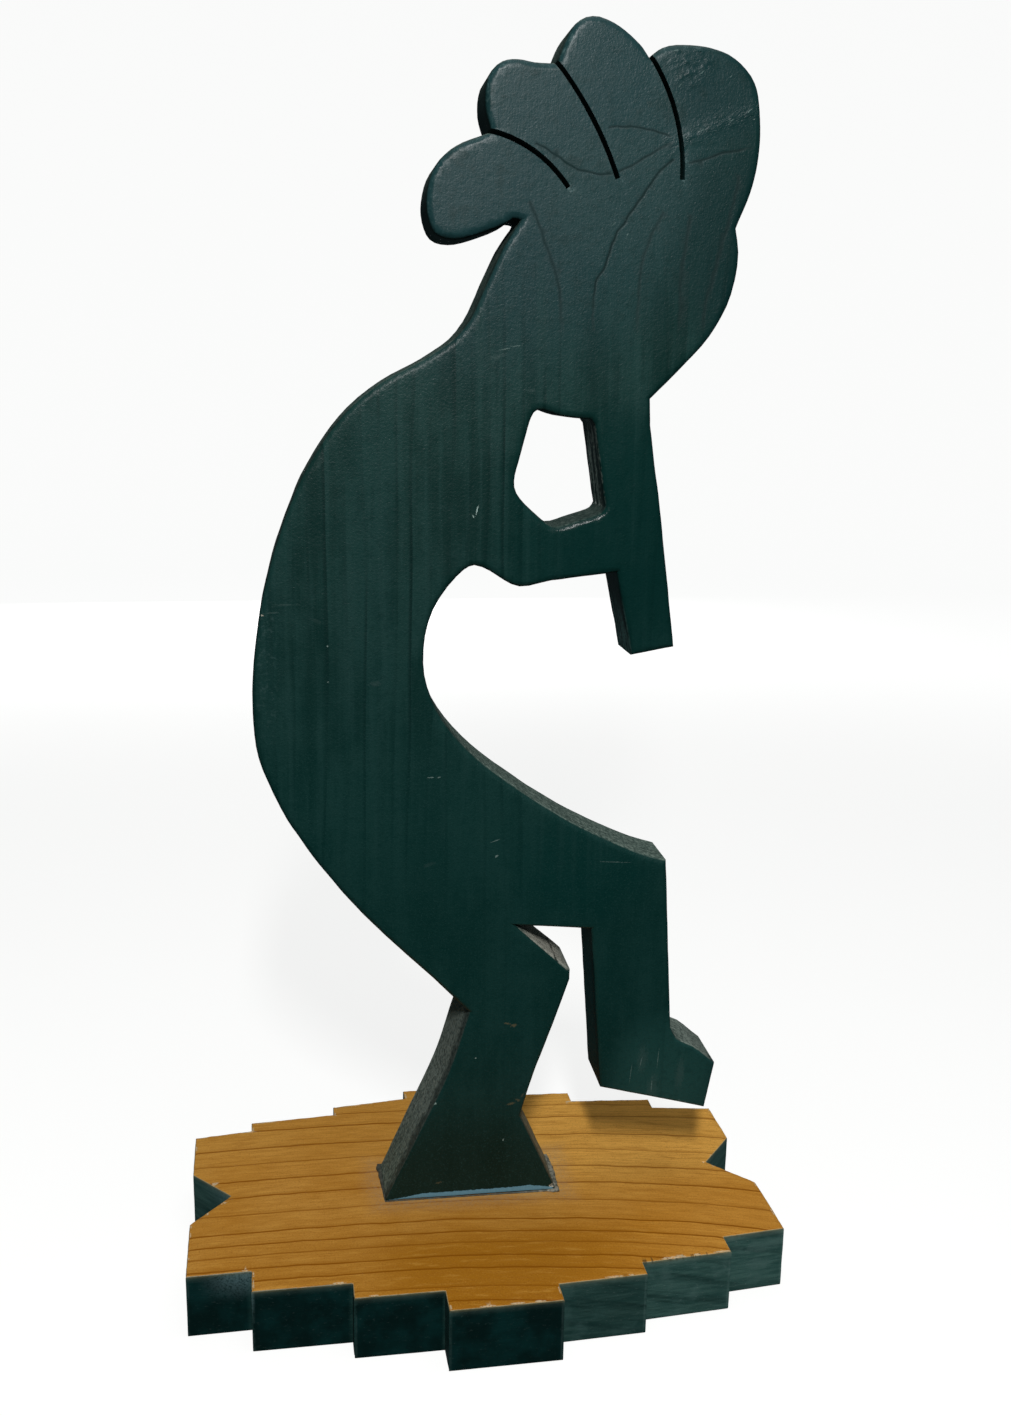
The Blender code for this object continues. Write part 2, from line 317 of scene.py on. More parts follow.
class Finish:
    """One procedural material and the nodes that make it."""

    def __init__(self, name):
        self.material = bpy.data.materials.new(name)
        self.material.use_nodes = True
        self.tree = self.material.node_tree
        self.surface = self.tree.nodes["Principled BSDF"]

    def socket(self, sockets, name):
        """A socket by its name, or by its number among those in use."""
        used = [socket for socket in sockets if socket.enabled]
        return used[name] if isinstance(name, int) else next(socket for socket in used if socket.name == name)

    def feed(self, socket, value):
        """Link a wire to a socket, or set a plain value on it."""
        if isinstance(value, Wire):
            self.tree.links.new(value.socket, socket)
        elif socket.type == "RGBA":
            socket.default_value = (*value, 1)[:4]
        elif socket.type == "VECTOR" and isinstance(value, (int, float)):
            socket.default_value = (value,) * 3
        else:
            socket.default_value = value

    def add(self, kind, settings, sockets, output=0):
        """A node of any type, its settings first and its sockets after them."""
        node = self.tree.nodes.new(kind)
        for name, value in settings.items():
            if name == "stops":
                self.set_stops(node.color_ramp, value)
            else:
                setattr(node, name, value)
        for name, value in sockets.items():
            self.feed(self.socket(node.inputs, name), value)
        return Wire(self, self.socket(node.outputs, output))

    def set_stops(self, ramp, stops):
        """Give a ramp its stops, each a place and a grey value."""
        while len(ramp.elements) > 1:
            ramp.elements.remove(ramp.elements[-1])
        for number, (place, value) in enumerate(stops):
            stop = ramp.elements[0] if number == 0 else ramp.elements.new(place)
            stop.position = place
            stop.color = (value, value, value, 1)

    def blend(self, factor, first, second):
        """One colour going over into another."""
        return self.add("ShaderNodeMix", {"data_type": "RGBA"}, {"Factor": factor, "A": first, "B": second})

    def coats(self, base, *coats):
        """Colours laid over a base in turn, each through its own mask."""
        for mask, colour in coats:
            base = self.blend(mask, base, colour)
        return base

    def grain(self, vector, scale, detail=2, roughness=0.5):
        """Seeded cloudy noise, about 0.25 to 0.75."""
        sockets = {"Vector": vector, "Scale": scale, "Detail": detail, "Roughness": roughness}
        return self.add("ShaderNodeTexNoise", {}, sockets)

    def strands(self, x, y, z, detail=3, roughness=0.6):
        """The same noise at a place made of three values, so that it can be drawn out or bent."""
        return self.grain(self.add("ShaderNodeCombineXYZ", {}, {0: x, 1: y, 2: z}), 1, detail, roughness)

    def stored(self, name):
        """A value that the mesh carries at each of its points."""
        return self.add("ShaderNodeAttribute", {"attribute_name": name}, {}, "Fac")

    def shape(self, **values):
        """Set or link sockets of the surface, named with spaces as underscores."""
        for name, value in values.items():
            self.feed(self.surface.inputs[name.replace("_", " ")], value)

    def emboss(self, height):
        """Raise the surface by a height in millimetres, without moving its mesh."""
        sockets = {"Height": height, "Distance": MM, "Strength": 1}
        self.shape(Normal=self.add("ShaderNodeBump", {}, sockets))


print("shader tools: Wire and Finish")

# %% [markdown]
# ## Paint for the room
#
# A studio wall is matt and pale. Most of its tone is its own, so that the background stays even from every
# side, and a part of it is lit, so that the stand still throws a soft shadow on the floor. A faint mottle
# keeps it from being one flat colour.

# %% Paint the room
plaster = Finish("pale_plaster")
place = plaster.add("ShaderNodeTexCoord", {}, {}, "Object")
mottle = plaster.grain(place, 3, 3)
far_off = (place.part("X") * place.part("X") + place.part("Y") * place.part("Y")).over(0.1, 1.2)
plaster.shape(
    Base_Color=plaster.blend(mottle, (0.27, 0.27, 0.265), (0.31, 0.31, 0.305)),
    Roughness=0.9,
    Emission_Color=plaster.blend(far_off, (0.8, 0.8, 0.795), (0.93, 0.93, 0.925)),
    Emission_Strength=1,
)
room.data.materials.append(plaster.material)
print("room painted:", plaster.material.name)

# %% [markdown]
# ## The figure's board, ruled into small squares
#
# On the real figure the walls wobble with the hand saw, the upper left edges of the crest were sanded
# rounder than the rest, and cracks run out of a knot in the head. The measured board is right in outline,
# but its flat faces are single large faces, with nothing to push or pull. Remeshing it would blur the three
# thin saw cuts. So a copy is ruled with straight cuts into squares of 2 mm, which leaves its outline as it
# is, and only the places that need it get finer squares.

# %% Copy and rule the figure
FIGURE_SQUARE = 2 * MM
DEPTH_SQUARE = 2.4 * MM


def merged_copy(node):
    """A copy of a measured board with its points joined and its flat faces whole."""
    bm = bmesh.new()
    bm.from_mesh(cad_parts[node].data)
    bmesh.ops.remove_doubles(bm, verts=bm.verts, dist=1e-6)
    flat = {"angle_limit": math.radians(0.5), "use_dissolve_boundaries": False, "delimit": set()}
    bmesh.ops.dissolve_limit(bm, verts=bm.verts, edges=bm.edges, **flat)
    return bm


def rule(bm, direction, low, high, spacing):
    """Cut a mesh along parallel planes, evenly spaced."""
    for number in range(int((high - low) / spacing)):
        place = direction * (low + (number + 0.5) * spacing)
        everything = bm.verts[:] + bm.edges[:] + bm.faces[:]
        bmesh.ops.bisect_plane(bm, geom=everything, dist=1e-6, plane_co=place, plane_no=direction)


def spots_tree(spots):
    """A search tree over places in space."""
    tree = kdtree.KDTree(len(spots))
    for number, spot in enumerate(spots):
        tree.insert(spot, number)
    tree.balance()
    return tree


def refine(bm, spots, reach, length):
    """Halve the edges near some places until none is longer than a length."""
    tree = spots_tree(spots)

    def too_long(edge):
        """Whether an edge near one of the places is still to be halved."""
        return edge.calc_length() > length and tree.find((edge.verts[0].co + edge.verts[1].co) / 2)[2] < reach

    while edges := [edge for edge in bm.edges if too_long(edge)]:
        bmesh.ops.subdivide_edges(bm, edges=edges, cuts=1, use_grid_fill=True)


figure_bm = merged_copy(FIGURE)
along_reach = [point.dot(ALONG) for point in corners]
rule(figure_bm, ALONG, min(along_reach), max(along_reach), FIGURE_SQUARE)
rule(figure_bm, UP, figure_low.z, figure_high.z, FIGURE_SQUARE)
rule(figure_bm, FRONT, min(depths), max(depths), DEPTH_SQUARE)
print("ruled figure:", len(figure_bm.verts), "points,", len(figure_bm.faces), "faces")

# %% [markdown]
# ## Where the cracks and chips are
#
# The growth rings part around the knot, and the paint shows each line where the wood opened or swelled. Each
# is drawn here as a short path on the front of the board, with its half width, its depth and the height of
# the lip beside it, all in millimetres. A negative depth is a ridge. The chips are small scoops out of the
# edges.

# %% Draw the cracks
MIDDLE_CRACK = [
    (11.5, 90.9), (13.7, 89.7), (14.9, 88.9), (16.9, 88.5),
    (18.5, 88.8), (20, 89.6), (21.6, 90.6), (22.8, 91.2),
]
LONG_CRACK = [
    (23, 89.9), (22, 89.3), (21.1, 88), (19.8, 86.3), (19.1, 85.1),
    (18.2, 83.8), (17.7, 81.9), (16.9, 80.6), (16.7, 79.2), (16.8, 76.8),
]
CRACKS = [
    # path, half width, depth, lip
    ([(17.5, 92), (19.3, 92.2), (21.7, 91.9), (22.6, 91.5)], 0.28, 0.05, 0.004),
    (MIDDLE_CRACK, 0.3, 0.05, 0.002),
    (LONG_CRACK, 0.32, 0.08, 0.002),
    ([(11.4, 86.5), (12.2, 84.7), (13.1, 82.5), (13.9, 80.5), (14.3, 76.7)], 0.5, 0.03, 0),
    ([(22.2, 86), (21.1, 83.9), (20.4, 81.6), (20.4, 76.9)], 0.45, 0.025, 0),
    ([(24.4, 85.9), (24.1, 83.6), (23.8, 81.3), (23.9, 76.9)], 0.6, 0.025, 0),
    ([(27.1, 84.6), (26.7, 82.2), (25.9, 79.1), (25.8, 77)], 0.45, 0.02, 0),
    ([(28.3, 89), (27.7, 86.2), (27, 83.3), (26.2, 79.5)], 0.45, 0.025, 0),
    ([(23.6, 91.4), (25.7, 92.2), (27.5, 93), (29.3, 93.7)], 0.6, -0.03, 0),
    ([(23.8, 90.5), (25.8, 90.7), (27.4, 90.7)], 0.4, -0.03, 0),
    ([(24, 89.6), (25.4, 90), (26.8, 90.5), (28.8, 90.9)], 0.32, 0.05, 0.02),
]
KNOT = (23, 90.6)
ROUGH_RIDGE = [(22.8, 91), (25.7, 92.2), (27.5, 93), (29.9, 94)]
STRIDE = 0.6


def on_front(along, up, behind=0):
    """A place on the front of the board, or so many metres behind it."""
    return CORNER + ALONG * (along * SHARE) + UP * (up * SHARE) + FRONT * (BOARD / 2 - behind)


def rounded(path):
    """A drawn path with its corners cut off twice, so that it bends softly. In mm."""
    line = np.array(path) * SHARE / MM
    for _ in range(2):
        first = line[:-1] * 0.75 + line[1:] * 0.25
        second = line[:-1] * 0.25 + line[1:] * 0.75
        middle = np.stack([first, second], axis=1).reshape(-1, 2)
        line = np.concatenate([line[:1], middle, line[-1:]])
    return line


def walk(line):
    """Places along a line on the front of the board, in space, one stride of so many mm apart."""
    spots = []
    for start, stop in zip(line[:-1], line[1:]):
        count = max(1, round(float(np.linalg.norm(stop - start)) / STRIDE))
        for number in range(count):
            along, up = (start + (stop - start) * number / count) * MM / SHARE
            spots.append(on_front(along, up))
    return spots


crack_lines = [rounded(path) for path, *_ in CRACKS]
crack_spots = [spot for line in crack_lines for spot in walk(line)]
print("cracks:", len(CRACKS), "paths,", round(STRIDE * len(crack_spots)), "mm in all")

# %% Give the chips and cracks finer squares
CHIPS = [
    # along, up, mm behind the front, radius in mm
    (26.6, 8, 0, 1.1), (-1.3, 71.6, 0.4, 0.6), (-9.9, 53.9, 0.3, 0.3), (4.3, 9.4, 0, 0.6),
    (15.3, 0.4, 0.4, 0.7), (20.3, 49.6, 0.4, 0.7), (19.9, 28.4, 8, 1.3),
]
NIBS = (24, 96.8)
NIBS_RADIUS = 8 * MM

refine(figure_bm, crack_spots, 1.3 * MM, 0.42 * MM)
refine(figure_bm, [on_front(along, up, behind * MM) for along, up, behind, _ in CHIPS], 2.4 * MM, 0.45 * MM)
refine(figure_bm, [on_front(*NIBS)], NIBS_RADIUS, 0.7 * MM)
print("refined figure:", len(figure_bm.verts), "points,", len(figure_bm.faces), "faces")

# %% [markdown]
# ## Saw, sandpaper and time on the figure
#
# Now the points are moved. The wobble of the saw could be drawn by hand, but nobody can tell one wobble from
# another, so it comes from seeded noise that changes along the wall and hardly at all through the board's
# thickness, as a blade leaves it. The cracks, the ridges, the sanded feathers and the chips are placed where
# they are on the real one. All of it is worked out for every point at once. Six numbers are stored at each
# point for the paint to read: how much it belongs to a wall, how far it faces up, how deep it lies in a
# crack, how gritty it is, how far it lies in the painted highlight along the crest's upper left edge, and
# whether a chip bared it.


# %% Tools for moving many points at once
def ripples(points, size, seed):
    """Smooth noise from -1 to 1 at each point. Size is how many mm a bump is wide, in each direction."""
    shift = Vector((seed * 17.31, seed * 5.77, seed * 11.93))
    scaled = np.asarray(points) / np.asarray(size)
    return np.array([noise.noise(Vector(point) + shift) for point in scaled.tolist()])


def soft_step(values, start, stop):
    """0 before start, 1 after stop, and smooth between them."""
    share = np.clip((values - start) / (stop - start), 0, 1)
    return share * share * (3 - 2 * share)


def hump(values, width):
    """1 at zero, and falling away smoothly over a width on both sides."""
    return np.exp(-((values / width) ** 2))


def pushed(directions, distances):
    """Moves of so many mm along each point's direction, in metres."""
    return directions * np.asarray(distances)[:, None] * MM


def beside(places, line):
    """How far each place is from a line, on which side, and what share of the line it is at."""
    gap = np.full(len(places), 1e9)
    side = np.zeros(len(places))
    share = np.zeros(len(places))
    for number, (start, stop) in enumerate(zip(line[:-1], line[1:])):
        leg = stop - start
        t = np.clip((places - start) @ leg / (leg @ leg), 0, 1)
        offset = places - start - t[:, None] * leg
        distance = np.linalg.norm(offset, axis=1)
        nearer = distance < gap
        gap[nearer] = distance[nearer]
        side[nearer] = np.sign(leg[0] * offset[:, 1] - leg[1] * offset[:, 0])[nearer]
        share[nearer] = (number + t[nearer]) / (len(line) - 1)
    return gap, side, share


def read_points(mesh, what="co"):
    """The places or normals of a mesh's points, as rows of numbers."""
    values = np.empty(len(mesh.vertices) * 3, np.float32)
    mesh.vertices.foreach_get(what, values)
    return values.reshape(-1, 3).astype(float)


def store(mesh, **columns):
    """Keep numbers at each point of a mesh, under their names, for its finish to read."""
    for name, values in columns.items():
        attribute = mesh.attributes.new(name, "FLOAT", "POINT")
        attribute.data.foreach_set("value", np.asarray(values, np.float32))


def triangulated(bm):
    """Split faces with more than four corners, so that they can bend."""
    bmesh.ops.triangulate(bm, faces=[face for face in bm.faces if len(face.verts) > 4])
    return smoothed(bm)


def place_points(obj, points, low, high, sharp_angle=38):
    """Move a mesh's points, inside a box, keep its sharp corners sharp, and count its triangles."""
    mesh = obj.data
    inside = np.clip(points, np.array(low), np.array(high))
    mesh.vertices.foreach_set("co", inside.astype(np.float32).ravel())
    mesh.update()
    if "custom_normal" in mesh.attributes:
        mesh.attributes.remove(mesh.attributes["custom_normal"])
    mesh.set_sharp_from_angle(angle=math.radians(sharp_angle))
    obj.modifiers.new("broad_faces_shade_flat", "WEIGHTED_NORMAL").keep_sharp = True
    return sum(len(face.vertices) - 2 for face in mesh.polygons)


print("tools ready")

# %% Read the figure's points
figure = new_object("figure_board", triangulated(figure_bm))
points = read_points(figure.data)
normals = read_points(figure.data, "normal")
from_corner = (points - np.array(CORNER)) / MM
along = from_corner @ np.array(ALONG)
up = from_corner @ np.array(UP)
depth = from_corner @ np.array(-FRONT)
flatness = normals @ np.array(FRONT)
wall = 1 - soft_step(np.abs(flatness), 0.25, 0.9)
front_face = soft_step(flatness, 0.3, 0.95)
on_the_board = np.c_[along, up]
print("points on walls:", int((wall > 0.5).sum()), "of", len(points))

# %% Lean the saw cut behind the shin
LEAN = [(0, 0.6), (4, 1.1), (8, 1.3), (11, 1.6), (15, 2.1), (17.5, 2.1), (19, 1), (20.5, 0)]

lean_heights, lean_mm = zip(*LEAN)
behind_share = np.clip(depth * MM / BOARD + 0.5, 0, 1)
faces_left = soft_step(-(normals @ np.array(ALONG)), 0.35, 0.6) * (along < 8 * SHARE / MM)
lean = np.interp(up * MM / SHARE, lean_heights, lean_mm) * behind_share * faces_left
print("most lean, mm:", round(float(lean.max()), 2))

# %% Let the saw wobble and the sandpaper round the crest
SAW_WOBBLE, SAW_CHATTER, SANDING = 0.16, 0.035, 0.1
CREST_FROM = 83 * SHARE / MM
CREST_ROUNDING, CREST_REACH, CREST_HIGHLIGHT_REACH = 0.16, 1.3, 2.4
UPPER_LEFT = np.array(ALONG * -0.75 + UP * 0.66)

board_points = np.c_[along, depth, up]
push = wall * SAW_WOBBLE * ripples(board_points, (7, 40, 7), 1)
push += wall * SAW_CHATTER * ripples(board_points, (1.1, 9, 1.1), 2)
push += (1 - wall) * SANDING * ripples(board_points, (22, 22, 34), 3)
moved = points + pushed(normals, push) - np.array(ALONG) * lean[:, None] * MM

edge_rows = np.flatnonzero((wall > 0.5) & (up > CREST_FROM) & (depth < -BOARD / MM / 2 + 4))
edge_tree = spots_tree([Vector((along[row], up[row], 0)) for row in edge_rows])
crest_edge = np.zeros(len(points))
for row in np.flatnonzero((front_face > 0.05) & (up > CREST_FROM - SHARE / MM)):
    _, nearest, gap = edge_tree.find(Vector((along[row], up[row], 0)))
    upper_left = max(0, normals[edge_rows[nearest]] @ UPPER_LEFT - 0.2) / 0.8
    rounding = CREST_ROUNDING * upper_left * max(0, 1 - gap / CREST_REACH) ** 2
    moved[row] -= np.array(FRONT) * rounding * MM
    # A painted highlight along the crest's upper left edges.
    crest_edge[row] = upper_left * max(0, 1 - gap / CREST_HIGHLIGHT_REACH)
print("sanded crest:", len(edge_rows), "edge points looked at")

# %% Open the cracks and raise the ridges
crack_depth = np.zeros(len(points))
jitter = np.c_[ripples(board_points, (3, 9, 3), 4), ripples(board_points, (3, 9, 3), 5)] * 0.35
near = on_the_board + jitter
unevenness = np.clip(0.9 + 0.9 * ripples(board_points, (2.2, 9, 2.2), 9), 0.15, 2)
relief = np.zeros(len(points))
for line, (_, half_width, deep, lip) in zip(crack_lines, CRACKS):
    gap, side, share = beside(near, line)
    fade = soft_step(share, 0, 0.06) * (1 - soft_step(share, 0.75, 1) * 0.7)
    groove = hump(gap, half_width) * fade
    shoulder = hump(gap - 2.2 * half_width, 1.6 * half_width) * (side < 0) * fade
    relief += (lip * shoulder - deep * groove) * unevenness
    if deep > 0:
        crack_depth = np.maximum(crack_depth, groove * min(1, 0.25 + deep / 0.08))


def gap_from(place):
    """How many mm each point is from a place on the front of the board."""
    return np.hypot(along - place[0] * SHARE / MM, up - place[1] * SHARE / MM)


relief += 0.06 * hump(gap_from(KNOT), 7) * ripples(board_points, (2.6, 9, 1.6), 6)
nibs = 1 - soft_step(gap_from(NIBS), 3.5, 7.5)
relief += 0.5 * nibs * np.clip(np.abs(ripples(board_points, (0.9, 9, 0.9), 7)) - 0.22, 0, 1)
ridge_gap, _, _ = beside(near, rounded(ROUGH_RIDGE))
grit = np.maximum(hump(ridge_gap, 1.9), 0.45 * nibs)
moved += np.array(FRONT) * (relief * front_face)[:, None] * MM
print("deepest crack, mm:", round(-float(relief.min()), 2))

# %% Scoop out the chips and finish the figure's mesh
DEEPEST_SCOOP = 0.6

chip = np.zeros(len(points))
raggedness = 1 + 0.3 * ripples(board_points, 0.8, 8)
for along_share, up_share, behind, radius in CHIPS:
    centre = np.array(on_front(along_share, up_share, (behind - 0.45 * radius) * MM))
    inside = radius * raggedness - np.linalg.norm(moved - centre, axis=1) / MM
    moved -= pushed(normals, np.clip(inside, 0, DEEPEST_SCOOP))
    chip = np.maximum(chip, inside > 0)

upward = np.clip(normals[:, 2], 0, 1)
store(figure.data, wall=wall, upward=upward, crack=crack_depth * front_face)
store(figure.data, grit=grit * front_face, crest_edge=crest_edge, chip=chip)
triangles = place_points(figure, moved, figure_low, figure_high)
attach(figure, "root")
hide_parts(FIGURE)
print("figure:", triangles, "triangles")

# %% [markdown]
# ## Green paint
#
# The paint is a satin bottle green, brushed on thin enough for the growth rings to show as darker lines
# along the grain. The lines bend round the knot in the head. A picture of paint would do for one view, but
# this finish has to hold from all sides, so it is built from the board's own directions: a ring number that
# follows the grain, fine fibres along it, and the orange peel of a brushed coat. Over that, broad patches
# paint light into the green: a painted sheen on the head, and painted shade on the right of the head, the
# forearm and the foot. The walls were sawn and hardly sanded, so they are duller and greyer, and where they
# face up they carry dust together with painted light from above.

# %% Lay out the board's directions for the paint
STORED_ON_FIGURE = ("wall", "upward", "crack", "chip", "grit", "crest_edge")

paint = Finish("bottle_green_paint")
object_place = paint.add("ShaderNodeTexCoord", {}, {}, "Object")
mapping = {"Vector": object_place, "Location": tuple(CORNER), "Rotation": (0, 0, TURN)}
board_mm = paint.add("ShaderNodeMapping", {"vector_type": "TEXTURE"}, mapping) * (1 / MM)
x_mm, y_mm, z_mm = map(board_mm.part, "XYZ")
wall_mask, upward, crack, chip, grit, crest_edge = map(paint.stored, STORED_ON_FIGURE)
print("paint reads:", ", ".join(STORED_ON_FIGURE))

# %% Count the growth rings across the board
KNOT_RADIUS = 12
RING_SPACING = 5

knot_x = x_mm - KNOT[0] * SHARE / MM
knot_z = z_mm - KNOT[1] * SHARE / MM
knot_distance = (knot_x * knot_x + knot_z * knot_z).most(KNOT_RADIUS**2 / 2)
flow = knot_x * (1 - KNOT_RADIUS**2 / knot_distance)
lined = z_mm.over(85, 130, 0.22) * z_mm.over(285, 240, 0.08)
wander = paint.strands(flow * 0.04, y_mm * 0.02, z_mm * 0.006, 2, 0.5)
ring = flow * (1 / RING_SPACING) + wander * 2.6
ring_place = paint.add("ShaderNodeMath", {"operation": "FRACT"}, {0: ring})
ring_number = paint.add("ShaderNodeMath", {"operation": "FLOOR"}, {0: ring})
ring_strength = paint.add("ShaderNodeTexWhiteNoise", {"noise_dimensions": "1D"}, {"W": ring_number}, "Value")
ring_strength = ring_strength * ring_strength * 0.8 + 0.2
fading = paint.strands(ring_number * 5.1, 0, z_mm * 0.018, 1, 0.5).over(0.38, 0.6, 0.3)
ring_line = ring_place.over(0.68, 0.9) * ring_place.over(1, 0.94) * ring_strength * fading * lined
ring_tone = paint.strands(ring_number * 3.7, 0, z_mm * 0.022, 1, 0.5) - 0.5
print("growth rings every", RING_SPACING, "mm")

# %% Grow the fibres, brush strokes and orange peel
fibres = paint.strands(flow * 2.4, y_mm * 2.4, z_mm * 0.07)
streaks = paint.strands(flow * 0.36, y_mm * 0.3, z_mm * 0.014)
strokes = paint.strands(x_mm * 0.11, y_mm * 0.1, z_mm * 0.03, 2, 0.5)
bands = paint.strands(flow * 0.07, y_mm * 0.03, z_mm * 0.006, 2, 0.5)
peel = paint.grain(board_mm, 1.35, 2, 0.55)
fine_peel = paint.grain(board_mm, 2.9, 1)
glints = paint.grain(board_mm, 1.9, 1).over(0.62, 0.74)
coarse = paint.grain(board_mm, 0.16, 3, 0.6)
mottles = paint.grain(board_mm, 0.42, 2, 0.6)
sparkle = paint.grain(board_mm, 0.8, 3, 0.7).over(0.52, 0.68)
print("paint nodes so far:", len(paint.tree.nodes))

# %% Mix the greens of the front
DEEP_GREEN = (0.0036, 0.024, 0.0205)
MID_GREEN = (0.0092, 0.0385, 0.034)
BLUE_GREEN = (0.008, 0.042, 0.042)
GREY_GREEN = (0.014, 0.046, 0.042)
LINE_GREEN = (0.0002, 0.015, 0.013)
RING_GREEN = (0.0001, 0.0115, 0.01)
CRACK_GREEN = (0.0001, 0.007, 0.007)
LEG_GREEN = (0.0005, 0.032, 0.028)
GLINT = (0.09, 0.14, 0.135)
CREST_GLINT = (0.1, 0.17, 0.168)
BACK_GLINT = (0.05, 0.095, 0.09)
# Broad patches over the green. Some are painted light: a painted sheen over the upper left and middle of the
# head, and painted shade on the right of the head, over the forearm and at the standing foot.
TONE_AND_LIGHT_PATCHES = [
    # along, up, half width, half height, colour, strength
    (19.5, 60, 12.5, 14, (0.002, 0.023, 0.02), 0.85),
    (7, 0, 12, 11, (0.0008, 0.012, 0.008), 0.75),
    (25.5, 11, 6, 7.5, (0.019, 0.072, 0.064), 0.78),
    (4, 36, 12, 9, MID_GREEN, 0.35),
    (17.5, 31.5, 7.5, 6.5, (0.0008, 0.026, 0.0225), 0.6),
    (9, 94, 24, 25, (0.0115, 0.0395, 0.0435), 0.85),
    (19, 87, 8, 6.5, (0.0165, 0.046, 0.046), 0.5),
    (30, 83, 8, 12, (0.0035, 0.022, 0.022), 0.75),
    (26.5, 96, 5.5, 6, (0.005, 0.026, 0.028), 0.65),
]


def soft_patch(along_share, up_share, width, height):
    """A mask for a large patch on the board that fades away from its middle."""
    sideways = (x_mm - along_share * SHARE / MM) * (MM / SHARE / width)
    upwards = (z_mm - up_share * SHARE / MM) * (MM / SHARE / height)
    return (sideways * sideways + upwards * upwards).over(1, 0.1)


calm = soft_patch(19.5, 59, 13, 14)
streaky = (streaks - 0.5) * lined * (1 - calm * 0.55)
front_tone = bands * 0.5 + streaky * 0.45 + (strokes - 0.5) + fibres * 0.34 + coarse * 0.45
front_tone = (front_tone + ring_tone * lined * 0.9 - 0.13).over(0.25, 0.76)
rough_strip = soft_patch(-9.6, 49.5, 1.3, 8.5)
low_specks = fine_peel.over(0.56, 0.74) * z_mm.over(190, 120)
legs = z_mm.over(190, 110) * z_mm.over(15, 60)
smudges = coarse.over(0.56, 0.7) * z_mm.over(230, 285)
greens = paint.coats(
    paint.blend(front_tone, DEEP_GREEN, MID_GREEN),
    (bands.over(0.58, 0.72) * 0.12, BLUE_GREEN),
    *[(soft_patch(*patch) * strength, colour) for *patch, colour, strength in TONE_AND_LIGHT_PATCHES],
    (streaky.over(0, 0.16) * 0.4, GREY_GREEN),
    (ring_line * (0.88 - calm * 0.5), RING_GREEN),
    (fine_peel.over(0.45, 0.25) * 0.35, LINE_GREEN),
    (crack * 0.85, CRACK_GREEN),
    # Painted highlights: glints on the gritty ridge and along the cracks, along the crest's upper left edge
    # and along the back's edge.
    (glints * (grit * 0.7 + crack * 0.2), GLINT),
    (sparkle * crest_edge * 0.65, CREST_GLINT),
    (sparkle * rough_strip * 0.35, BACK_GLINT),
    (mottles.over(0.5, 0.68) * 0.22, LINE_GREEN),
    (low_specks * 0.75, GREY_GREEN),
    (legs * 0.32, LEG_GREEN),
    (smudges * 0.35, LINE_GREEN),
)
print("greens mixed, with", len(TONE_AND_LIGHT_PATCHES), "patches")

# %% Mix the greys of the sawn walls
WALL_DARK = (0.0015, 0.011, 0.01)
WALL_GREEN = (0.006, 0.026, 0.023)
WALL_GRIT = (0.33, 0.37, 0.32)
DUST_AND_TOP_LIGHT = (0.155, 0.216, 0.183)
KNEE_WOOD = (0.47, 0.455, 0.385)
KNEE_CRACK = (0.004, 0.006, 0.005)
KNEE = (14.5, 24.5, 5.5, 4.5)
KNEE_SPLIT_X = 50.4
# The first patch is painted light on the shin's left wall, over its worn grey paint.
WORN_AND_LIT_WALLS = [
    # along, up, half width, half height, colour, strength
    (4, 16, 9, 15, (0.175, 0.21, 0.186), 0.8),
    (17, 15, 3.5, 13, (0.0005, 0.07, 0.072), 0.9),
    (14.5, 5, 3.5, 8, (0.26, 0.23, 0.15), 0.75),
    (28, 11, 4.5, 5, (0.26, 0.295, 0.26), 0.5),
]
# Painted light on the walls of the arm's opening and of the flute, broken up along the saw marks.
LIT_SAWN_WALLS = [
    # along, up, half width, half height, colour, strength
    (17, 63.5, 3.5, 8, (0.39, 0.47, 0.42), 0.95),
    (19.3, 51, 3, 4.5, (0.18, 0.36, 0.34), 0.9),
]

wall_streaks = paint.strands(x_mm * 0.1, y_mm * 1.5, z_mm * 0.1)
wall_specks = paint.grain(board_mm, 1, 3, 0.7)
wall_grit = paint.grain(board_mm, 1, 2, 0.6)
saw_marks = paint.strands(x_mm * 0.3, y_mm * 0.5, z_mm * 0.05, 2)
# Walls that face up are lighter: dust, together with painted light from above.
dust_and_top_light = upward.over(0.02, 0.45) * (0.35 + wall_specks * 0.9) * (0.45 + wall_streaks.over(0.25, 0.65) * 0.55)
dust_and_top_light = dust_and_top_light * z_mm.over(182, 202, 1, 0.45)
worn_and_lit = (wall_specks * 0.9 + wall_streaks * 0.6).over(0.3, 0.75)
lit_saw_marks = (saw_marks * 0.8 + wall_specks * 0.4).over(0.56, 0.68)
knee = soft_patch(*KNEE) * upward.over(0.2, 0.5)
bared = knee * (wall_streaks * 0.8 + wall_specks * 0.8 - 0.25).over(0.15, 0.5) * x_mm.over(38.5, 43)
split = abs(x_mm - KNEE_SPLIT_X + (wall_specks - 0.5) * 3 + (coarse - 0.5) * 5).over(0.5, 0.2)
wrapped = (y_mm + (coarse - 0.5) * 8).over(-4, -7.5) * (1 - knee) * upward.over(0.75, 0.55)
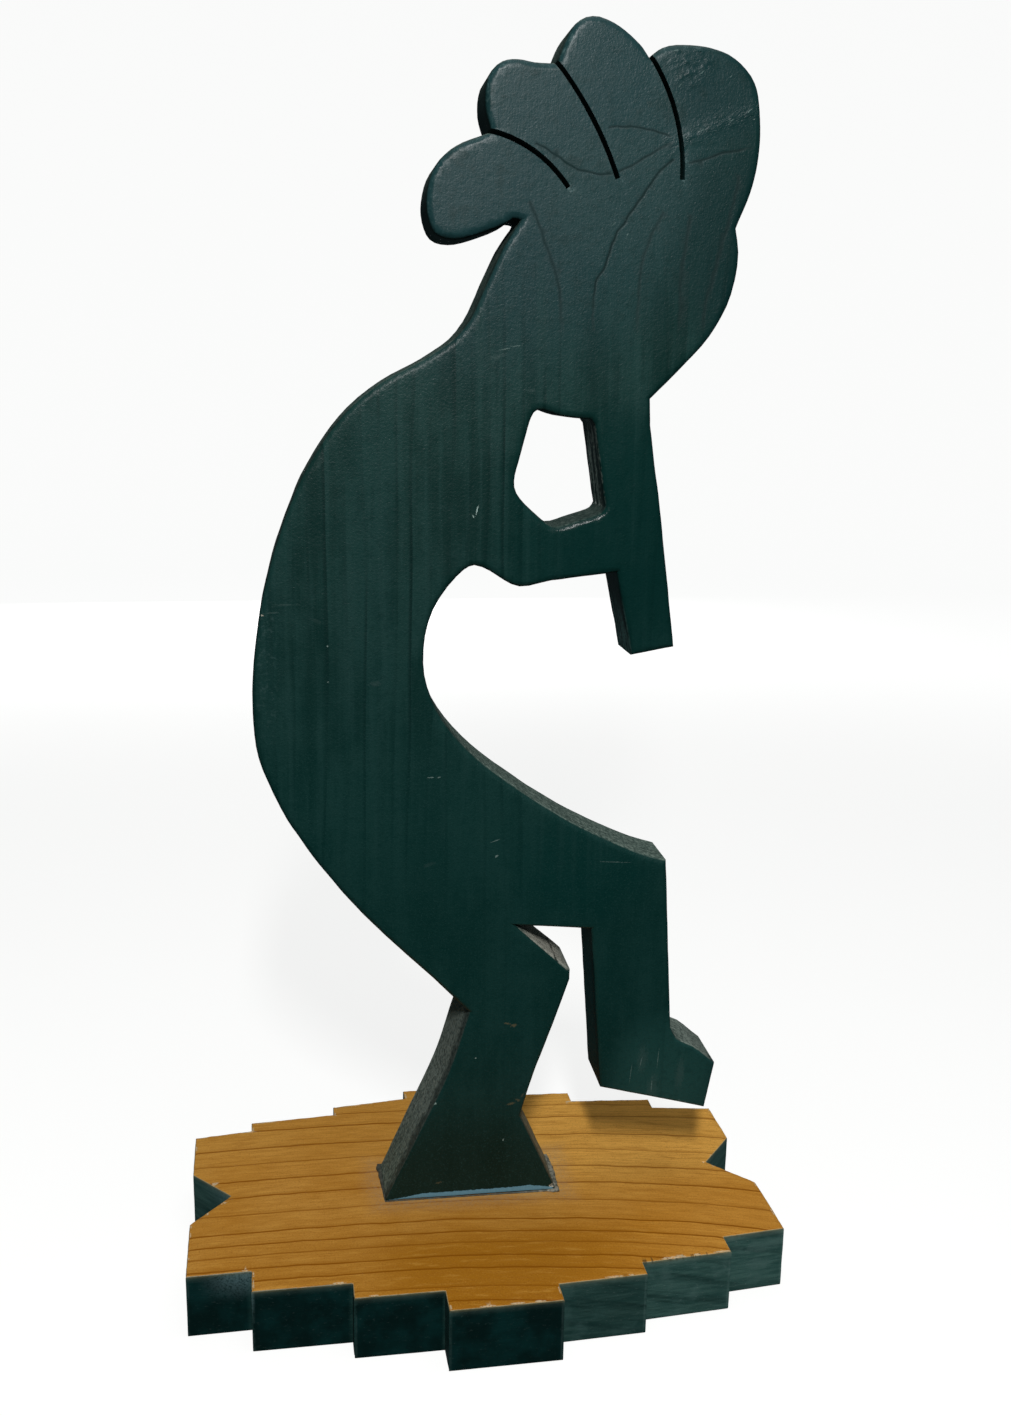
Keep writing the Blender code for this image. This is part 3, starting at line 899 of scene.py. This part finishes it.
wall_colour = paint.coats(
    paint.blend(wall_streaks.over(0.3, 0.7), WALL_DARK, WALL_GREEN),
    (dust_and_top_light, DUST_AND_TOP_LIGHT),
    *[(soft_patch(*patch) * worn_and_lit * strength, colour) for *patch, colour, strength in WORN_AND_LIT_WALLS],
    *[
        (soft_patch(*patch) * lit_saw_marks * upward.over(0.4, 0.2) * strength, colour)
        for *patch, colour, strength in LIT_SAWN_WALLS
    ],
    (bared * 0.92, KNEE_WOOD),
    (knee * split * 0.9, KNEE_CRACK),
    (wall_grit.over(0.52, 0.38) * 0.48, WALL_DARK),
    (wall_grit.over(0.54, 0.68) * dust_and_top_light.most(knee) * 0.5, WALL_GRIT),
    (wrapped * 0.7, WALL_DARK),
)
greens = paint.blend(wall_mask.over(0.35, 0.95), greens, wall_colour)
print("walls mixed, with", len(WORN_AND_LIT_WALLS) + len(LIT_SAWN_WALLS), "patches")

# %% [markdown]
# ## Small marks on the paint
#
# The real paint has a few specks, scuffs and scratches, a flash of pale blue paint along the foot's lower
# edge, and bare wood where an edge was knocked. Some pale dashes on the crest are painted glints. Each speck
# could be its own texture. They are all small ovals, so one loop makes them: an oval is a place, a length,
# a width and a turn, and its rim is broken up by noise.

# %% Place the specks and scuffs
PALE = (0.35, 0.47, 0.43)
TAN = (0.16, 0.12, 0.06)
GREY = (0.068, 0.105, 0.098)
MARKS = {
    # along, up, half length, half width, turn in degrees, strength
    PALE: [
        (7.62, 62.45, 1.3, 0.17, 76, 0.85), (7.3, 61.95, 0.55, 0.15, -55, 0.8),
        (-4.6, 51.3, 0.25, 0.22, 0, 0.5), (-4.6, 48.3, 0.25, 0.22, 0, 0.25),
        (8.1, 13.7, 0.28, 0.25, 0, 0.6), (10.7, 5.4, 0.35, 0.2, 80, 0.6), (9.7, 32.7, 0.5, 0.3, 40, 0.35),
        (9.6, 34.1, 1.2, 0.18, 20, 0.25), (3.9, 39.9, 0.8, 0.16, 0, 0.35), (4.6, 39.9, 0.6, 0.16, 10, 0.35),
        (9.7, 75.2, 1.6, 0.16, 12, 0.18), (10.6, 75.45, 1.3, 0.15, 8, 0.18),
        (20.1, 31.8, 4.2, 0.14, -4, 0.14), (-7.9, 54.75, 2.8, 0.18, 0, 0.06), (-9, 54.1, 2, 0.18, 4, 0.06),
        (4.4, 9.4, 0.6, 0.4, 20, 0.8), (23.3, 12.4, 2.4, 0.14, 78, 0.22), (24.4, 10, 2, 0.14, 88, 0.28),
        (24.9, 12.8, 3, 0.1, 86, 0.2), (22.4, 11.5, 2.6, 0.1, 84, 0.18), (26.6, 8.2, 1.4, 0.22, 20, 0.35),
        # The pale dashes on the crest's ridge and nibs below are partly specks of paint and partly painted
        # glints.
        (25, 92.1, 0.9, 0.16, 22, 0.16), (27.3, 92.9, 0.8, 0.14, 24, 0.16),
        (28.8, 93.7, 0.7, 0.14, 40, 0.24), (29.2, 93.1, 0.4, 0.14, 30, 0.2),
        (24.8, 96.3, 0.9, 0.13, 42, 0.2), (23.1, 95.3, 0.6, 0.13, 48, 0.2),
        (27.1, 96.1, 0.4, 0.12, 40, 0.18), (22.7, 97.8, 0.7, 0.14, 10, 0.2),
        (18.2, 84.9, 0.8, 0.14, 40, 0.12), (19.3, 84.1, 0.5, 0.14, 60, 0.2),
    ],
    TAN: [
        (10.9, 16.9, 0.9, 0.35, -8, 0.45), (11.5, 16.7, 0.8, 0.5, 10, 0.5), (11.4, 9, 1.2, 0.35, 15, 0.5),
        (12, 9.3, 0.8, 0.45, -20, 0.4), (4.9, 1.5, 1, 0.3, 10, 0.3), (12.4, 9.8, 0.8, 0.3, 60, 0.3),
    ],
    GREY: [
        (9.1, 74.6, 2.2, 0.6, 15, 0.22), (11.9, 72, 1.3, 0.5, 0, 0.2), (-5, 66.2, 2, 0.7, 65, 0.12),
        (-0.7, 48.1, 1.6, 0.7, 0, 0.2), (3.8, 32.1, 1.8, 0.5, 20, 0.12), (-5.5, 53.4, 1.6, 0.5, -25, 0.1),
        (23.4, 12.7, 4.5, 1.6, 86, 0.2), (24.5, 9.6, 5, 1.8, 84, 0.2), (27, 11, 5, 1.3, 86, 0.22),
    ],
}

crumble = (paint.grain(board_mm, 3.2, 3, 0.7) - 0.5) * 3.2 + (fibres - 0.5) * 1.2
on_front_face = y_mm.over(-6.5, -8.5) * wall_mask.over(0.8, 0.4)


def oval(along_share, up_share, length, width, turn, strength):
    """A mask for one oval mark on the front of the board, with a crumbling rim."""
    sockets = {
        "Vector": board_mm,
        "Location": (along_share * SHARE / MM, 0, up_share * SHARE / MM),
        "Rotation": (0, -math.radians(turn), 0),
        "Scale": (length, 1e6, width),
    }
    inside = paint.add("ShaderNodeMapping", {"vector_type": "TEXTURE"}, sockets)
    radius = paint.add("ShaderNodeVectorMath", {"operation": "LENGTH"}, {0: inside}, "Value")
    return (radius + crumble).over(1.2, 0.6, 0, strength)


for colour, marks in MARKS.items():
    together = reduce(Wire.most, [oval(*mark) for mark in marks])
    greens = paint.blend(together * on_front_face, greens, colour)
print("marks:", sum(len(marks) for marks in MARKS.values()))

# %% Lay the pale blue line along the foot and bare the chips
BLUE_LINE = [(0, 0), (0.09, 0.2), (0.22, 0.5), (0.7, 0.52), (0.84, 0.62), (0.97, 0.3), (1, 0)]
DULL_BLUE = (0.098, 0.23, 0.31)
BLUE_PAINT = (0.15, 0.32, 0.42)
BARE_WOOD = (0.46, 0.43, 0.35)

sole_share = x_mm * (MM / SHARE / SOLE_SHARES)
line_top = paint.add("ShaderNodeValToRGB", {"stops": BLUE_LINE}, {"Fac": sole_share})
ragged = (paint.grain(board_mm, 0.9, 3, 0.6) - 0.5) * 0.9
line_gap = z_mm + ragged - line_top * (SHARE / MM)
blue = line_gap.over(0.12, -0.12) * on_front_face * sole_share.over(0, 0.01) * sole_share.over(1, 0.985)
bare = chip.over(0.3, 0.8) * crumble.over(0.25, -0.1)
greens = paint.coats(greens, (blue, paint.blend(fibres, DULL_BLUE, BLUE_PAINT)), (bare, BARE_WOOD))
print("blue line and chips painted")

# %% Set the paint's gloss and relief
gloss = 0.38 + (coarse - 0.5) * 0.16 + (peel - 0.5) * 0.14 + wall_mask * 0.16 + dust_and_top_light * wall_mask * 0.2
gloss = gloss - calm * 0.12 + crack * 0.5
fine_saw = paint.strands(x_mm * 1.1, y_mm * 0.22, z_mm * 1.1, 2, 0.5)
rough_paint = paint.strands(x_mm * 0.55, y_mm, (z_mm - x_mm * 0.35) * 1.1, 2)
feather_smooth = soft_patch(8, 93, 15, 15)
orange_peel = (peel * 0.7 + fine_peel * 0.45) * z_mm.over(180, 270, 0.115, 0.098)
relief_mm = (
    orange_peel * (1 - feather_smooth * 0.45)
    + mottles * 0.05
    + grit * rough_paint * 0.3
    + coarse * 0.05
    + fibres * 0.022
    - ring_line * 0.03
    + glints * (grit * 0.1 + z_mm.over(230, 300) * 0.012)
    + wall_mask * (wall_specks * 0.09 + wall_streaks * 0.05 + fine_saw * 0.06 + wall_grit * 0.05)
    + blue * 0.02
)
paint.shape(Base_Color=greens, Roughness=gloss, Specular_IOR_Level=0.18)
paint.emboss(relief_mm)
figure.data.materials.append(paint.material)
print("paint nodes:", len(paint.tree.nodes))

# %% [markdown]
# ## The stand's board
#
# The stand has seven treads along each side and a notch at each end, all sawn by hand. Its top edges were
# knocked where the paint meets the varnish, and small splinters broke away and left pale wood. The copy is
# ruled like the figure, in squares of 2.5 mm, with fine ones along the rim of the top, where the splinters
# are.

# %% Copy and rule the stand
STAND_SQUARE = 2.5 * MM

stand_bm = merged_copy(STAND)
top_face = max((face for face in stand_bm.faces if face.normal.z > 0.99), key=lambda face: face.calc_area())
outline = [vertex.co.copy() for vertex in top_face.verts]
for direction, low, high in zip(Matrix.Identity(3), stand_low, stand_high):
    rule(stand_bm, direction, low, high, STAND_SQUARE)
print("ruled stand:", len(stand_bm.verts), "points,", len(outline), "corners")


# %% Tell outer corners from inner ones and refine the rim
def along_outline(outline, stride):
    """Places along a closed outline, evenly spaced on each side."""
    spots = []
    for start, stop in zip(outline, outline[1:] + outline[:1]):
        count = max(1, round((stop - start).length / stride))
        spots += [start.lerp(stop, number / count) for number in range(count)]
    return spots


def outer_corners(outline):
    """The corners of an outline that stick out, as places on the plan in mm."""
    found = []
    for before, here, after in zip(outline[-1:] + outline[:-1], outline, outline[1:] + outline[:1]):
        into, out = here - before, after - here
        if into.x * out.y - into.y * out.x > 0:
            found.append((here.x / MM, here.y / MM))
    return np.array(found)


turning = sum(a.x * b.y - a.y * b.x for a, b in zip(outline, outline[1:] + outline[:1]))
outer = outer_corners(outline if turning > 0 else outline[::-1])
rim_spots = along_outline(outline, MM)
levels = np.arange(stand_low.z, stand_high.z, MM)
refine(stand_bm, rim_spots, 1.6 * MM, 0.65 * MM)
refine(stand_bm, [Vector((x * MM, y * MM, z)) for x, y in outer for z in levels], 1.4 * MM, 0.65 * MM)
print("refined stand:", len(stand_bm.verts), "points,", len(outer), "outer corners")

# %% Move the stand's points
SIDE_WOBBLE, SIDE_CHATTER, TOP_WAVE = 0.12, 0.03, 0.05
CORNER_WEAR, RIM_WEAR = 0.18, 0.12
RIM_CHIPS = 60
random.seed(7)

stand = new_object("stand_board", triangulated(stand_bm))
points = read_points(stand.data)
normals = read_points(stand.data, "normal")
place_mm = points / MM
side = 1 - soft_step(np.abs(normals[:, 2]), 0.25, 0.9)
push = side * SIDE_WOBBLE * ripples(place_mm, (8, 8, 40), 11)
push += side * SIDE_CHATTER * ripples(place_mm, (1.2, 1.2, 9), 12)
push += (1 - side) * TOP_WAVE * ripples(place_mm, (40, 14, 20), 13)
moved = points + pushed(normals, push)

corner_gap = np.hypot(*(place_mm[:, None, :2] - outer).transpose(2, 0, 1)).min(axis=1)
worn = hump(corner_gap, 0.6) * side
moved -= pushed(normals, worn * CORNER_WEAR * (1 + ripples(place_mm, (3, 3, 5), 14)))

closed_outline = np.array([corner.xy for corner in outline + outline[:1]]) / MM
rim_gap, _, _ = beside(place_mm[:, :2], closed_outline)
rim = hump(rim_gap, 0.55) * soft_step(place_mm[:, 2], STAND_TOP / MM - 1.2, STAND_TOP / MM - 0.3)
moved -= pushed(normals, rim * RIM_WEAR * (1 + ripples(place_mm, (2.5, 2.5, 5), 16)))
print("most pushed, mm:", round(float(np.abs(moved - points).max() / MM), 2))

# %% Break splinters off the rim and finish the stand's mesh
chipped = np.zeros(len(points))
raggedness = 0.35 * ripples(place_mm, 0.9, 15)
for _ in range(RIM_CHIPS):
    number = random.randrange(len(rim_spots))
    centre = np.array(rim_spots[number]) / MM
    heading = np.abs(np.array(rim_spots[number - 1]) / MM - centre)
    length = random.uniform(0.8, 3.6)
    size = random.uniform(0.3, 0.55)
    stretch = (length, size, size) if heading[0] > heading[1] else (size * 0.6, length * 0.5, size * 0.6)
    gap = np.linalg.norm((place_mm - centre) / stretch, axis=1) + raggedness
    bite = np.clip(1 - gap, 0, 1)
    moved -= pushed(normals, bite * size * 0.7)
    chipped = np.maximum(chipped, bite)

endwise = side * soft_step(np.abs(normals[:, 0]), 0.5, 0.9)
store(stand.data, side=side, endwise=endwise, rim=rim, worn=worn, chip=np.clip(chipped * 3, 0, 1))
triangles = place_points(stand, moved, stand_low, stand_high)
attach(stand, "root")
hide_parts(STAND)
print("stand:", triangles, "triangles")

# %% [markdown]
# ## Varnished top and painted edges
#
# The top is flat-sawn pine under honey varnish. Its growth lines run the length of the stand, thin and dark
# on one side with a soft fade on the other, and all of them swing to the front as they go right. Evenly
# spaced noise would look like a printed pattern, so each line has its measured place, and noise only makes
# it waver. Behind the foot the top is painted lighter, as painted light. The edges carry the figure's green,
# brushed along and rubbed at the corners, and paler to the right, where the paler teal is a painted
# reflection. The underside is bare.

# %% Lay out the stand's growth lines
LINE_PLACES = [47, 39.6, 29, 20, 10.7, 2, -7, -16.3, -22.3, -27.4, -33.5, -39, -47, -53]
LINE_BEND, BEND_SPREAD = 18, 0.13
LINE_WIDTH, LINE_TAIL = 0.75, 2.6
STORED_ON_STAND = ("side", "worn", "chip", "rim", "endwise")

varnish = Finish("honey_varnish")
stand_mm = varnish.add("ShaderNodeTexCoord", {}, {}, "Object") * (1 / MM)
sx_mm, sy_mm, sz_mm = map(stand_mm.part, "XYZ")
side_mask, worn_mask, chip_mask, rim_mask, endwise = map(varnish.stored, STORED_ON_STAND)
across = (sx_mm - stand_low.x / MM) / ((stand_high.x - stand_low.x) / MM)
bend = across.most(0) ** 2.6 * (LINE_BEND - sy_mm * BEND_SPREAD)
waver = varnish.strands(sx_mm * 0.035, sy_mm * 0.05, sz_mm * 0.05)
tremble = varnish.strands(sx_mm * 0.22, sy_mm * 0.12, sz_mm * 0.1, 2, 0.5)
ring_y = sy_mm + bend + (waver - 0.5) * 2.4 + (tremble - 0.5) * 0.4


def growth_line(line_place, strength):
    """One dark line across the top, sharp at its front and fading behind."""
    gap = ring_y - line_place
    line = gap.over(LINE_WIDTH, 0.1) * 0.78 + gap.over(LINE_TAIL, 0) * 0.22
    return gap.over(-0.3, 0.05) * line * strength


lines = [growth_line(place, 1 if number % 3 else 0.7) for number, place in enumerate(LINE_PLACES)]
rings = reduce(Wire.most, lines)
print("growth lines:", len(lines))

# %% Mix the honey colours
HONEY_DARK, HONEY_PALE = (0.518, 0.23, 0.03), (0.593, 0.288, 0.051)
FIBRE_BROWN, SPECK_BROWN = (0.38, 0.144, 0.012), (0.265, 0.086, 0.007)
LINE_BROWN = (0.271, 0.085, 0)
FOOT_HAZE = (0.36, 0.28, 0.18)

long_fibres = varnish.strands(sx_mm * 0.05, ring_y * 1.9, sz_mm, 3, 0.65)
short_flecks = varnish.strands(sx_mm * 0.55, ring_y * 2.6, sz_mm, 2, 0.5)
fine_flecks = varnish.strands(sx_mm * 0.9, ring_y * 4.5, sz_mm, 2)
early_wood = varnish.strands(sx_mm * 0.12, ring_y * 0.6, sz_mm)
clouds = varnish.grain(stand_mm, 0.045, 2)
pores = varnish.grain(stand_mm, 1.6, 2, 0.6)
speckle = varnish.grain(stand_mm, 2.1, 3, 0.7)
front_middle = sy_mm.over(-16, -34) * abs(sx_mm - 4).over(62, 22)
# Painted light: the top is lighter behind the foot on both sides, most of all on the right.
lit_rear_left = sx_mm.over(5, -5) * sy_mm.over(0, 32)
lit_rear_right = sx_mm.over(4, 22) * sy_mm.over(-20, 8)

half_sole = SOLE_SHARES / 2 * SHARE / MM
foot_x = sx_mm - CORNER.x / MM - half_sole
foot_y = sy_mm - CORNER.y / MM + foot_x * -math.tan(TURN) + half_sole * -math.tan(TURN)
from_foot = (abs(foot_x) - half_sole).most(abs(foot_y) - BOARD / MM / 2)
dulled = (from_foot + (clouds - 0.5) * 8).over(9, 0) * pores.over(0.25, 0.7)
honey = varnish.coats(
    varnish.blend(clouds.over(0.3, 0.7), HONEY_DARK, HONEY_PALE),
    (front_middle * 0.95, (0.415, 0.163, 0.007)),
    (sx_mm.over(10, 60) * 0.45, (0.703, 0.301, 0.035)),
    (lit_rear_left * 0.35, (0.76, 0.386, 0.071)),
    (lit_rear_right * 0.8, (0.912, 0.484, 0.098)),
    (early_wood.over(0.45, 0.75) * 0.45, (0.38, 0.144, 0.01)),
    (early_wood.over(0.48, 0.28) * 0.4, (0.714, 0.369, 0.069)),
    (long_fibres.over(0.35, 0.75) * 0.5, FIBRE_BROWN),
    (speckle.over(0.5, 0.75) * 0.55, SPECK_BROWN),
    (speckle.over(0.45, 0.25) * 0.35, (0.737, 0.392, 0.092)),
    (fine_flecks.over(0.56, 0.74) * 0.4, (0.265, 0.081, 0.007)),
    (short_flecks.over(0.66, 0.76) * 0.5, (0.207, 0.058, 0.007)),
    (rings * (0.74 + long_fibres * 0.6) * (1 - lit_rear_right * 0.25), LINE_BROWN),
    (dulled * 0.42, FOOT_HAZE),
)
print("varnish nodes so far:", len(varnish.tree.nodes))

# %% Paint the stand's edges
EDGE_DARK, EDGE_GREEN = (0.0006, 0.011, 0.01), (0.002, 0.026, 0.025)
TEAL_DARK, TEAL_PALE = (0.03, 0.088, 0.077), (0.068, 0.15, 0.13)

brushed = varnish.strands(sx_mm * 0.09, sy_mm * 0.09, sz_mm * 0.9, 4, 0.65)
smears = varnish.grain(stand_mm, 0.11, 3, 0.6)
broken = varnish.grain(stand_mm, 0.22, 3, 0.65)
grain_bands = varnish.strands(sx_mm * 0.02, sy_mm * 0.02, (sz_mm + sx_mm * 0.25) * 0.3).over(0.46, 0.7)
scratches = varnish.strands(sx_mm * 0.8, sy_mm * 0.8, sz_mm * 1.9, 3, 0.7).over(0.6, 0.72)
rightward = sx_mm.over(14.8, 15.3, 0, 0.5) + sx_mm.over(38, 44, 0, 0.35) + sx_mm.over(64, 70, 0, 0.15)
left_notch = sx_mm.over(-66, -76, 0, 0.5) * sy_mm.over(-20, -12)
sheen_patch = sx_mm.over(-84, -71) * sx_mm.over(-67, -68.5) * sz_mm.over(9, 18.5) * speckle.over(0.25, 0.6)
rubbed = worn_mask.over(0.25, 0.8) * broken.over(0.34, 0.56) * (0.26 + rightward * 0.2)
below_rim = sz_mm.over(STAND_TOP / MM - 2.6, STAND_TOP / MM - 0.2) * smears.over(0.25, 0.65, 0.4)
browned = sz_mm.over(STAND_TOP / MM - 1.1, STAND_TOP / MM - 0.2)
edge_teal = varnish.blend(brushed.over(0.3, 0.7), TEAL_DARK, TEAL_PALE)
edge_green = varnish.coats(
    varnish.blend(smears.over(0.35, 0.7), EDGE_DARK, EDGE_GREEN),
    # A painted reflection: the right treads turn paler teal, with paler smears.
    ((rightward + left_notch) * (1 - grain_bands * 0.52), edge_teal),
    (smears.over(0.5, 0.68) * rightward * 0.35, (0.11, 0.19, 0.175)),
    (endwise * (0.24 + brushed * 0.46), edge_teal),
    (scratches * (0.1 + rightward * 0.3), (0.15, 0.22, 0.2)),
    (sheen_patch * 0.8, (0.11, 0.19, 0.2)),
    (rubbed, (0.19, 0.29, 0.27)),
    (below_rim * (0.2 + rightward * 0.35), (0.17, 0.22, 0.18)),
    (browned * 0.55, (0.16, 0.135, 0.06)),
)
print("edges painted")

# %% Join the top, the edges, the rim and the underside
RIM_WOOD_LEFT, RIM_WOOD_RIGHT = (0.3, 0.31, 0.22), (0.56, 0.45, 0.24)
RIM_DIRT = (0.045, 0.03, 0.01)
FRESH_WOOD = (0.6, 0.48, 0.3)

under_side = sz_mm.over(0.6, 0.2) * side_mask.over(0.5, 0.1)
bare_under = varnish.blend(long_fibres, (0.5, 0.36, 0.19), (0.62, 0.47, 0.27))
rim_line = rim_mask.over(0.45, 0.8) * broken.over(0.32, 0.5, 0.25) * side_mask.over(0.02, 0.12)
rim_tone = varnish.blend(sx_mm.over(-46, -38), RIM_WOOD_LEFT, RIM_WOOD_RIGHT)
dashes = varnish.strands(sx_mm * 0.55, 0, 0, 2).over(0.5, 0.6)
rim_dirt = rim_mask.over(0.2, 0.6) * dashes * sx_mm.over(28, 42) * sx_mm.over(66, 58)
splinter = chip_mask.over(0.15, 0.6) * pores.over(0.3, 0.5)
stand_colour = varnish.coats(
    honey,
    (side_mask.over(0.3, 0.5), edge_green),
    (rim_line * 0.7, rim_tone),
    (rim_dirt * 0.75, RIM_DIRT),
    (under_side, bare_under),
    (splinter * 0.8, FRESH_WOOD),
)

stand_gloss = 0.36 + side_mask * 0.08 + dulled * 0.25 + splinter * 0.3 + (clouds - 0.5) * 0.1
stand_relief = long_fibres * 0.03 - rings * 0.015 + pores * 0.02 + fine_flecks * 0.02
stand_relief = stand_relief + side_mask * (brushed * 0.1 + pores * 0.05 + scratches * 0.03)
varnish.shape(Base_Color=stand_colour, Roughness=stand_gloss, Specular_IOR_Level=0.24)
varnish.emboss(stand_relief)
stand.data.materials.append(varnish.material)
print("varnish nodes:", len(varnish.tree.nodes))

# %% [markdown]
# ## The bead of glue
#
# Glue squeezed out round the foot and was painted over. It is widest at the left rear corner, shrinks to
# almost nothing at the left front corner, and lies as a pale ridge on the right. A bead could be a swept
# curve, but its width changes all the way round, so a ring of circles is set round the foot, each with its
# own radius, and bridged into one closed band. The lowest points are then set down on the stand.

# %% Lay the bead round the foot
BEAD = [
    # share of the way round from the left front corner, radius in mm
    (0, 0.2), (0.04, 0.55), (0.09, 0.95), (0.122, 1.45), (0.134, 1.35), (0.145, 0.75), (0.3, 0.6),
    (0.42, 0.55), (0.48, 0.75), (0.51, 0.9), (0.56, 1.15), (0.6, 0.95), (0.634, 1.1), (0.642, 0.85),
    (0.652, 0.35), (0.8, 0.22), (1, 0.2),
]
STATIONS = 150
SOLE_LENGTH = SOLE_SHARES * SHARE


def round_the_foot(share):
    """A place on the foot's lower outline, going from the left front corner backwards."""
    sides = [BOARD, SOLE_LENGTH, BOARD, SOLE_LENGTH]
    distance = (share % 1) * sum(sides)
    plan = ((0, 0), (0, BOARD), (SOLE_SHARES, BOARD), (SOLE_SHARES, 0))
    starts = [on_front(along, 0, behind) for along, behind in plan]
    ways = [-FRONT, ALONG, FRONT, -ALONG]
    for start, way, length in zip(starts, ways, sides):
        if distance <= length:
            return start + way * distance
        distance -= length
    return starts[0]


def glue_circle(bm, share):
    """One circle of the bead, upright across its way, as a set of edges."""
    spot = round_the_foot(share)
    heading = (round_the_foot(share + 0.006) - round_the_foot(share - 0.006)).normalized()
    radius = float(np.interp(share, *zip(*BEAD))) * MM
    radius *= 1 + 0.3 * noise.noise(spot / MM / 1.7)
    spot = spot + heading.cross(UP) * -1 * radius * 0.2
    spot.z = STAND_TOP + 0.1 * MM
    turned = Matrix.Translation(spot) @ heading.to_track_quat("Z", "Y").to_matrix().to_4x4()
    circle = bmesh.ops.create_circle(bm, segments=10, radius=radius, matrix=turned)
    return {edge for vertex in circle["verts"] for edge in vertex.link_edges}


def lay_bead():
    """A closed band of glue round the foot, from circles bridged in turn and set down on the stand."""
    bm = bmesh.new()
    circles = [glue_circle(bm, number / STATIONS) for number in range(STATIONS)]
    for first, second in zip(circles, circles[1:] + circles[:1]):
        bmesh.ops.bridge_loops(bm, edges=list(first | second))
    for vertex in bm.verts:
        height = max(vertex.co.z - STAND_TOP, 0.01 * MM)
        vertex.co.z = STAND_TOP + min(height, 0.35 * MM + height * 0.35)
    bmesh.ops.recalc_face_normals(bm, faces=bm.faces)
    return new_object("glue_bead", smoothed(bm))


bead = lay_bead()
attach(bead, "root")
print("bead:", len(bead.data.polygons), "faces")

# %% Colour the glue
glue = Finish("painted_glue")
glue_mm = glue.add("ShaderNodeTexCoord", {}, {}, "Object") * (1 / MM)
lumps = glue.grain(glue_mm, 0.8, 3, 0.6)
fine = glue.grain(glue_mm, 3, 2)
right_of_foot = glue_mm.part("X").over(5, 25)
glue_dark = glue.blend(lumps.over(0.35, 0.7), (0.04, 0.044, 0.036), (0.085, 0.088, 0.07))
glue_pale = glue.blend(lumps.over(0.35, 0.65), (0.085, 0.09, 0.07), (0.29, 0.275, 0.22))
glue_colour = glue.blend(right_of_foot, glue_dark, glue_pale)
glue.shape(Base_Color=glue_colour, Roughness=0.42 + fine * 0.2, Specular_IOR_Level=0.32)
glue.emboss(lumps * 0.12 + fine * 0.02)
bead.data.materials.append(glue.material)
print("glue coloured")

# %% [markdown]
# ## The dressed object's size
#
# The dressed object is meant to keep the measured boards' size. Its size is printed here.

# %% Print the dressed object's size
low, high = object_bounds()
print("dressed object, mm:", [round(side / MM, 1) for side in high - low])
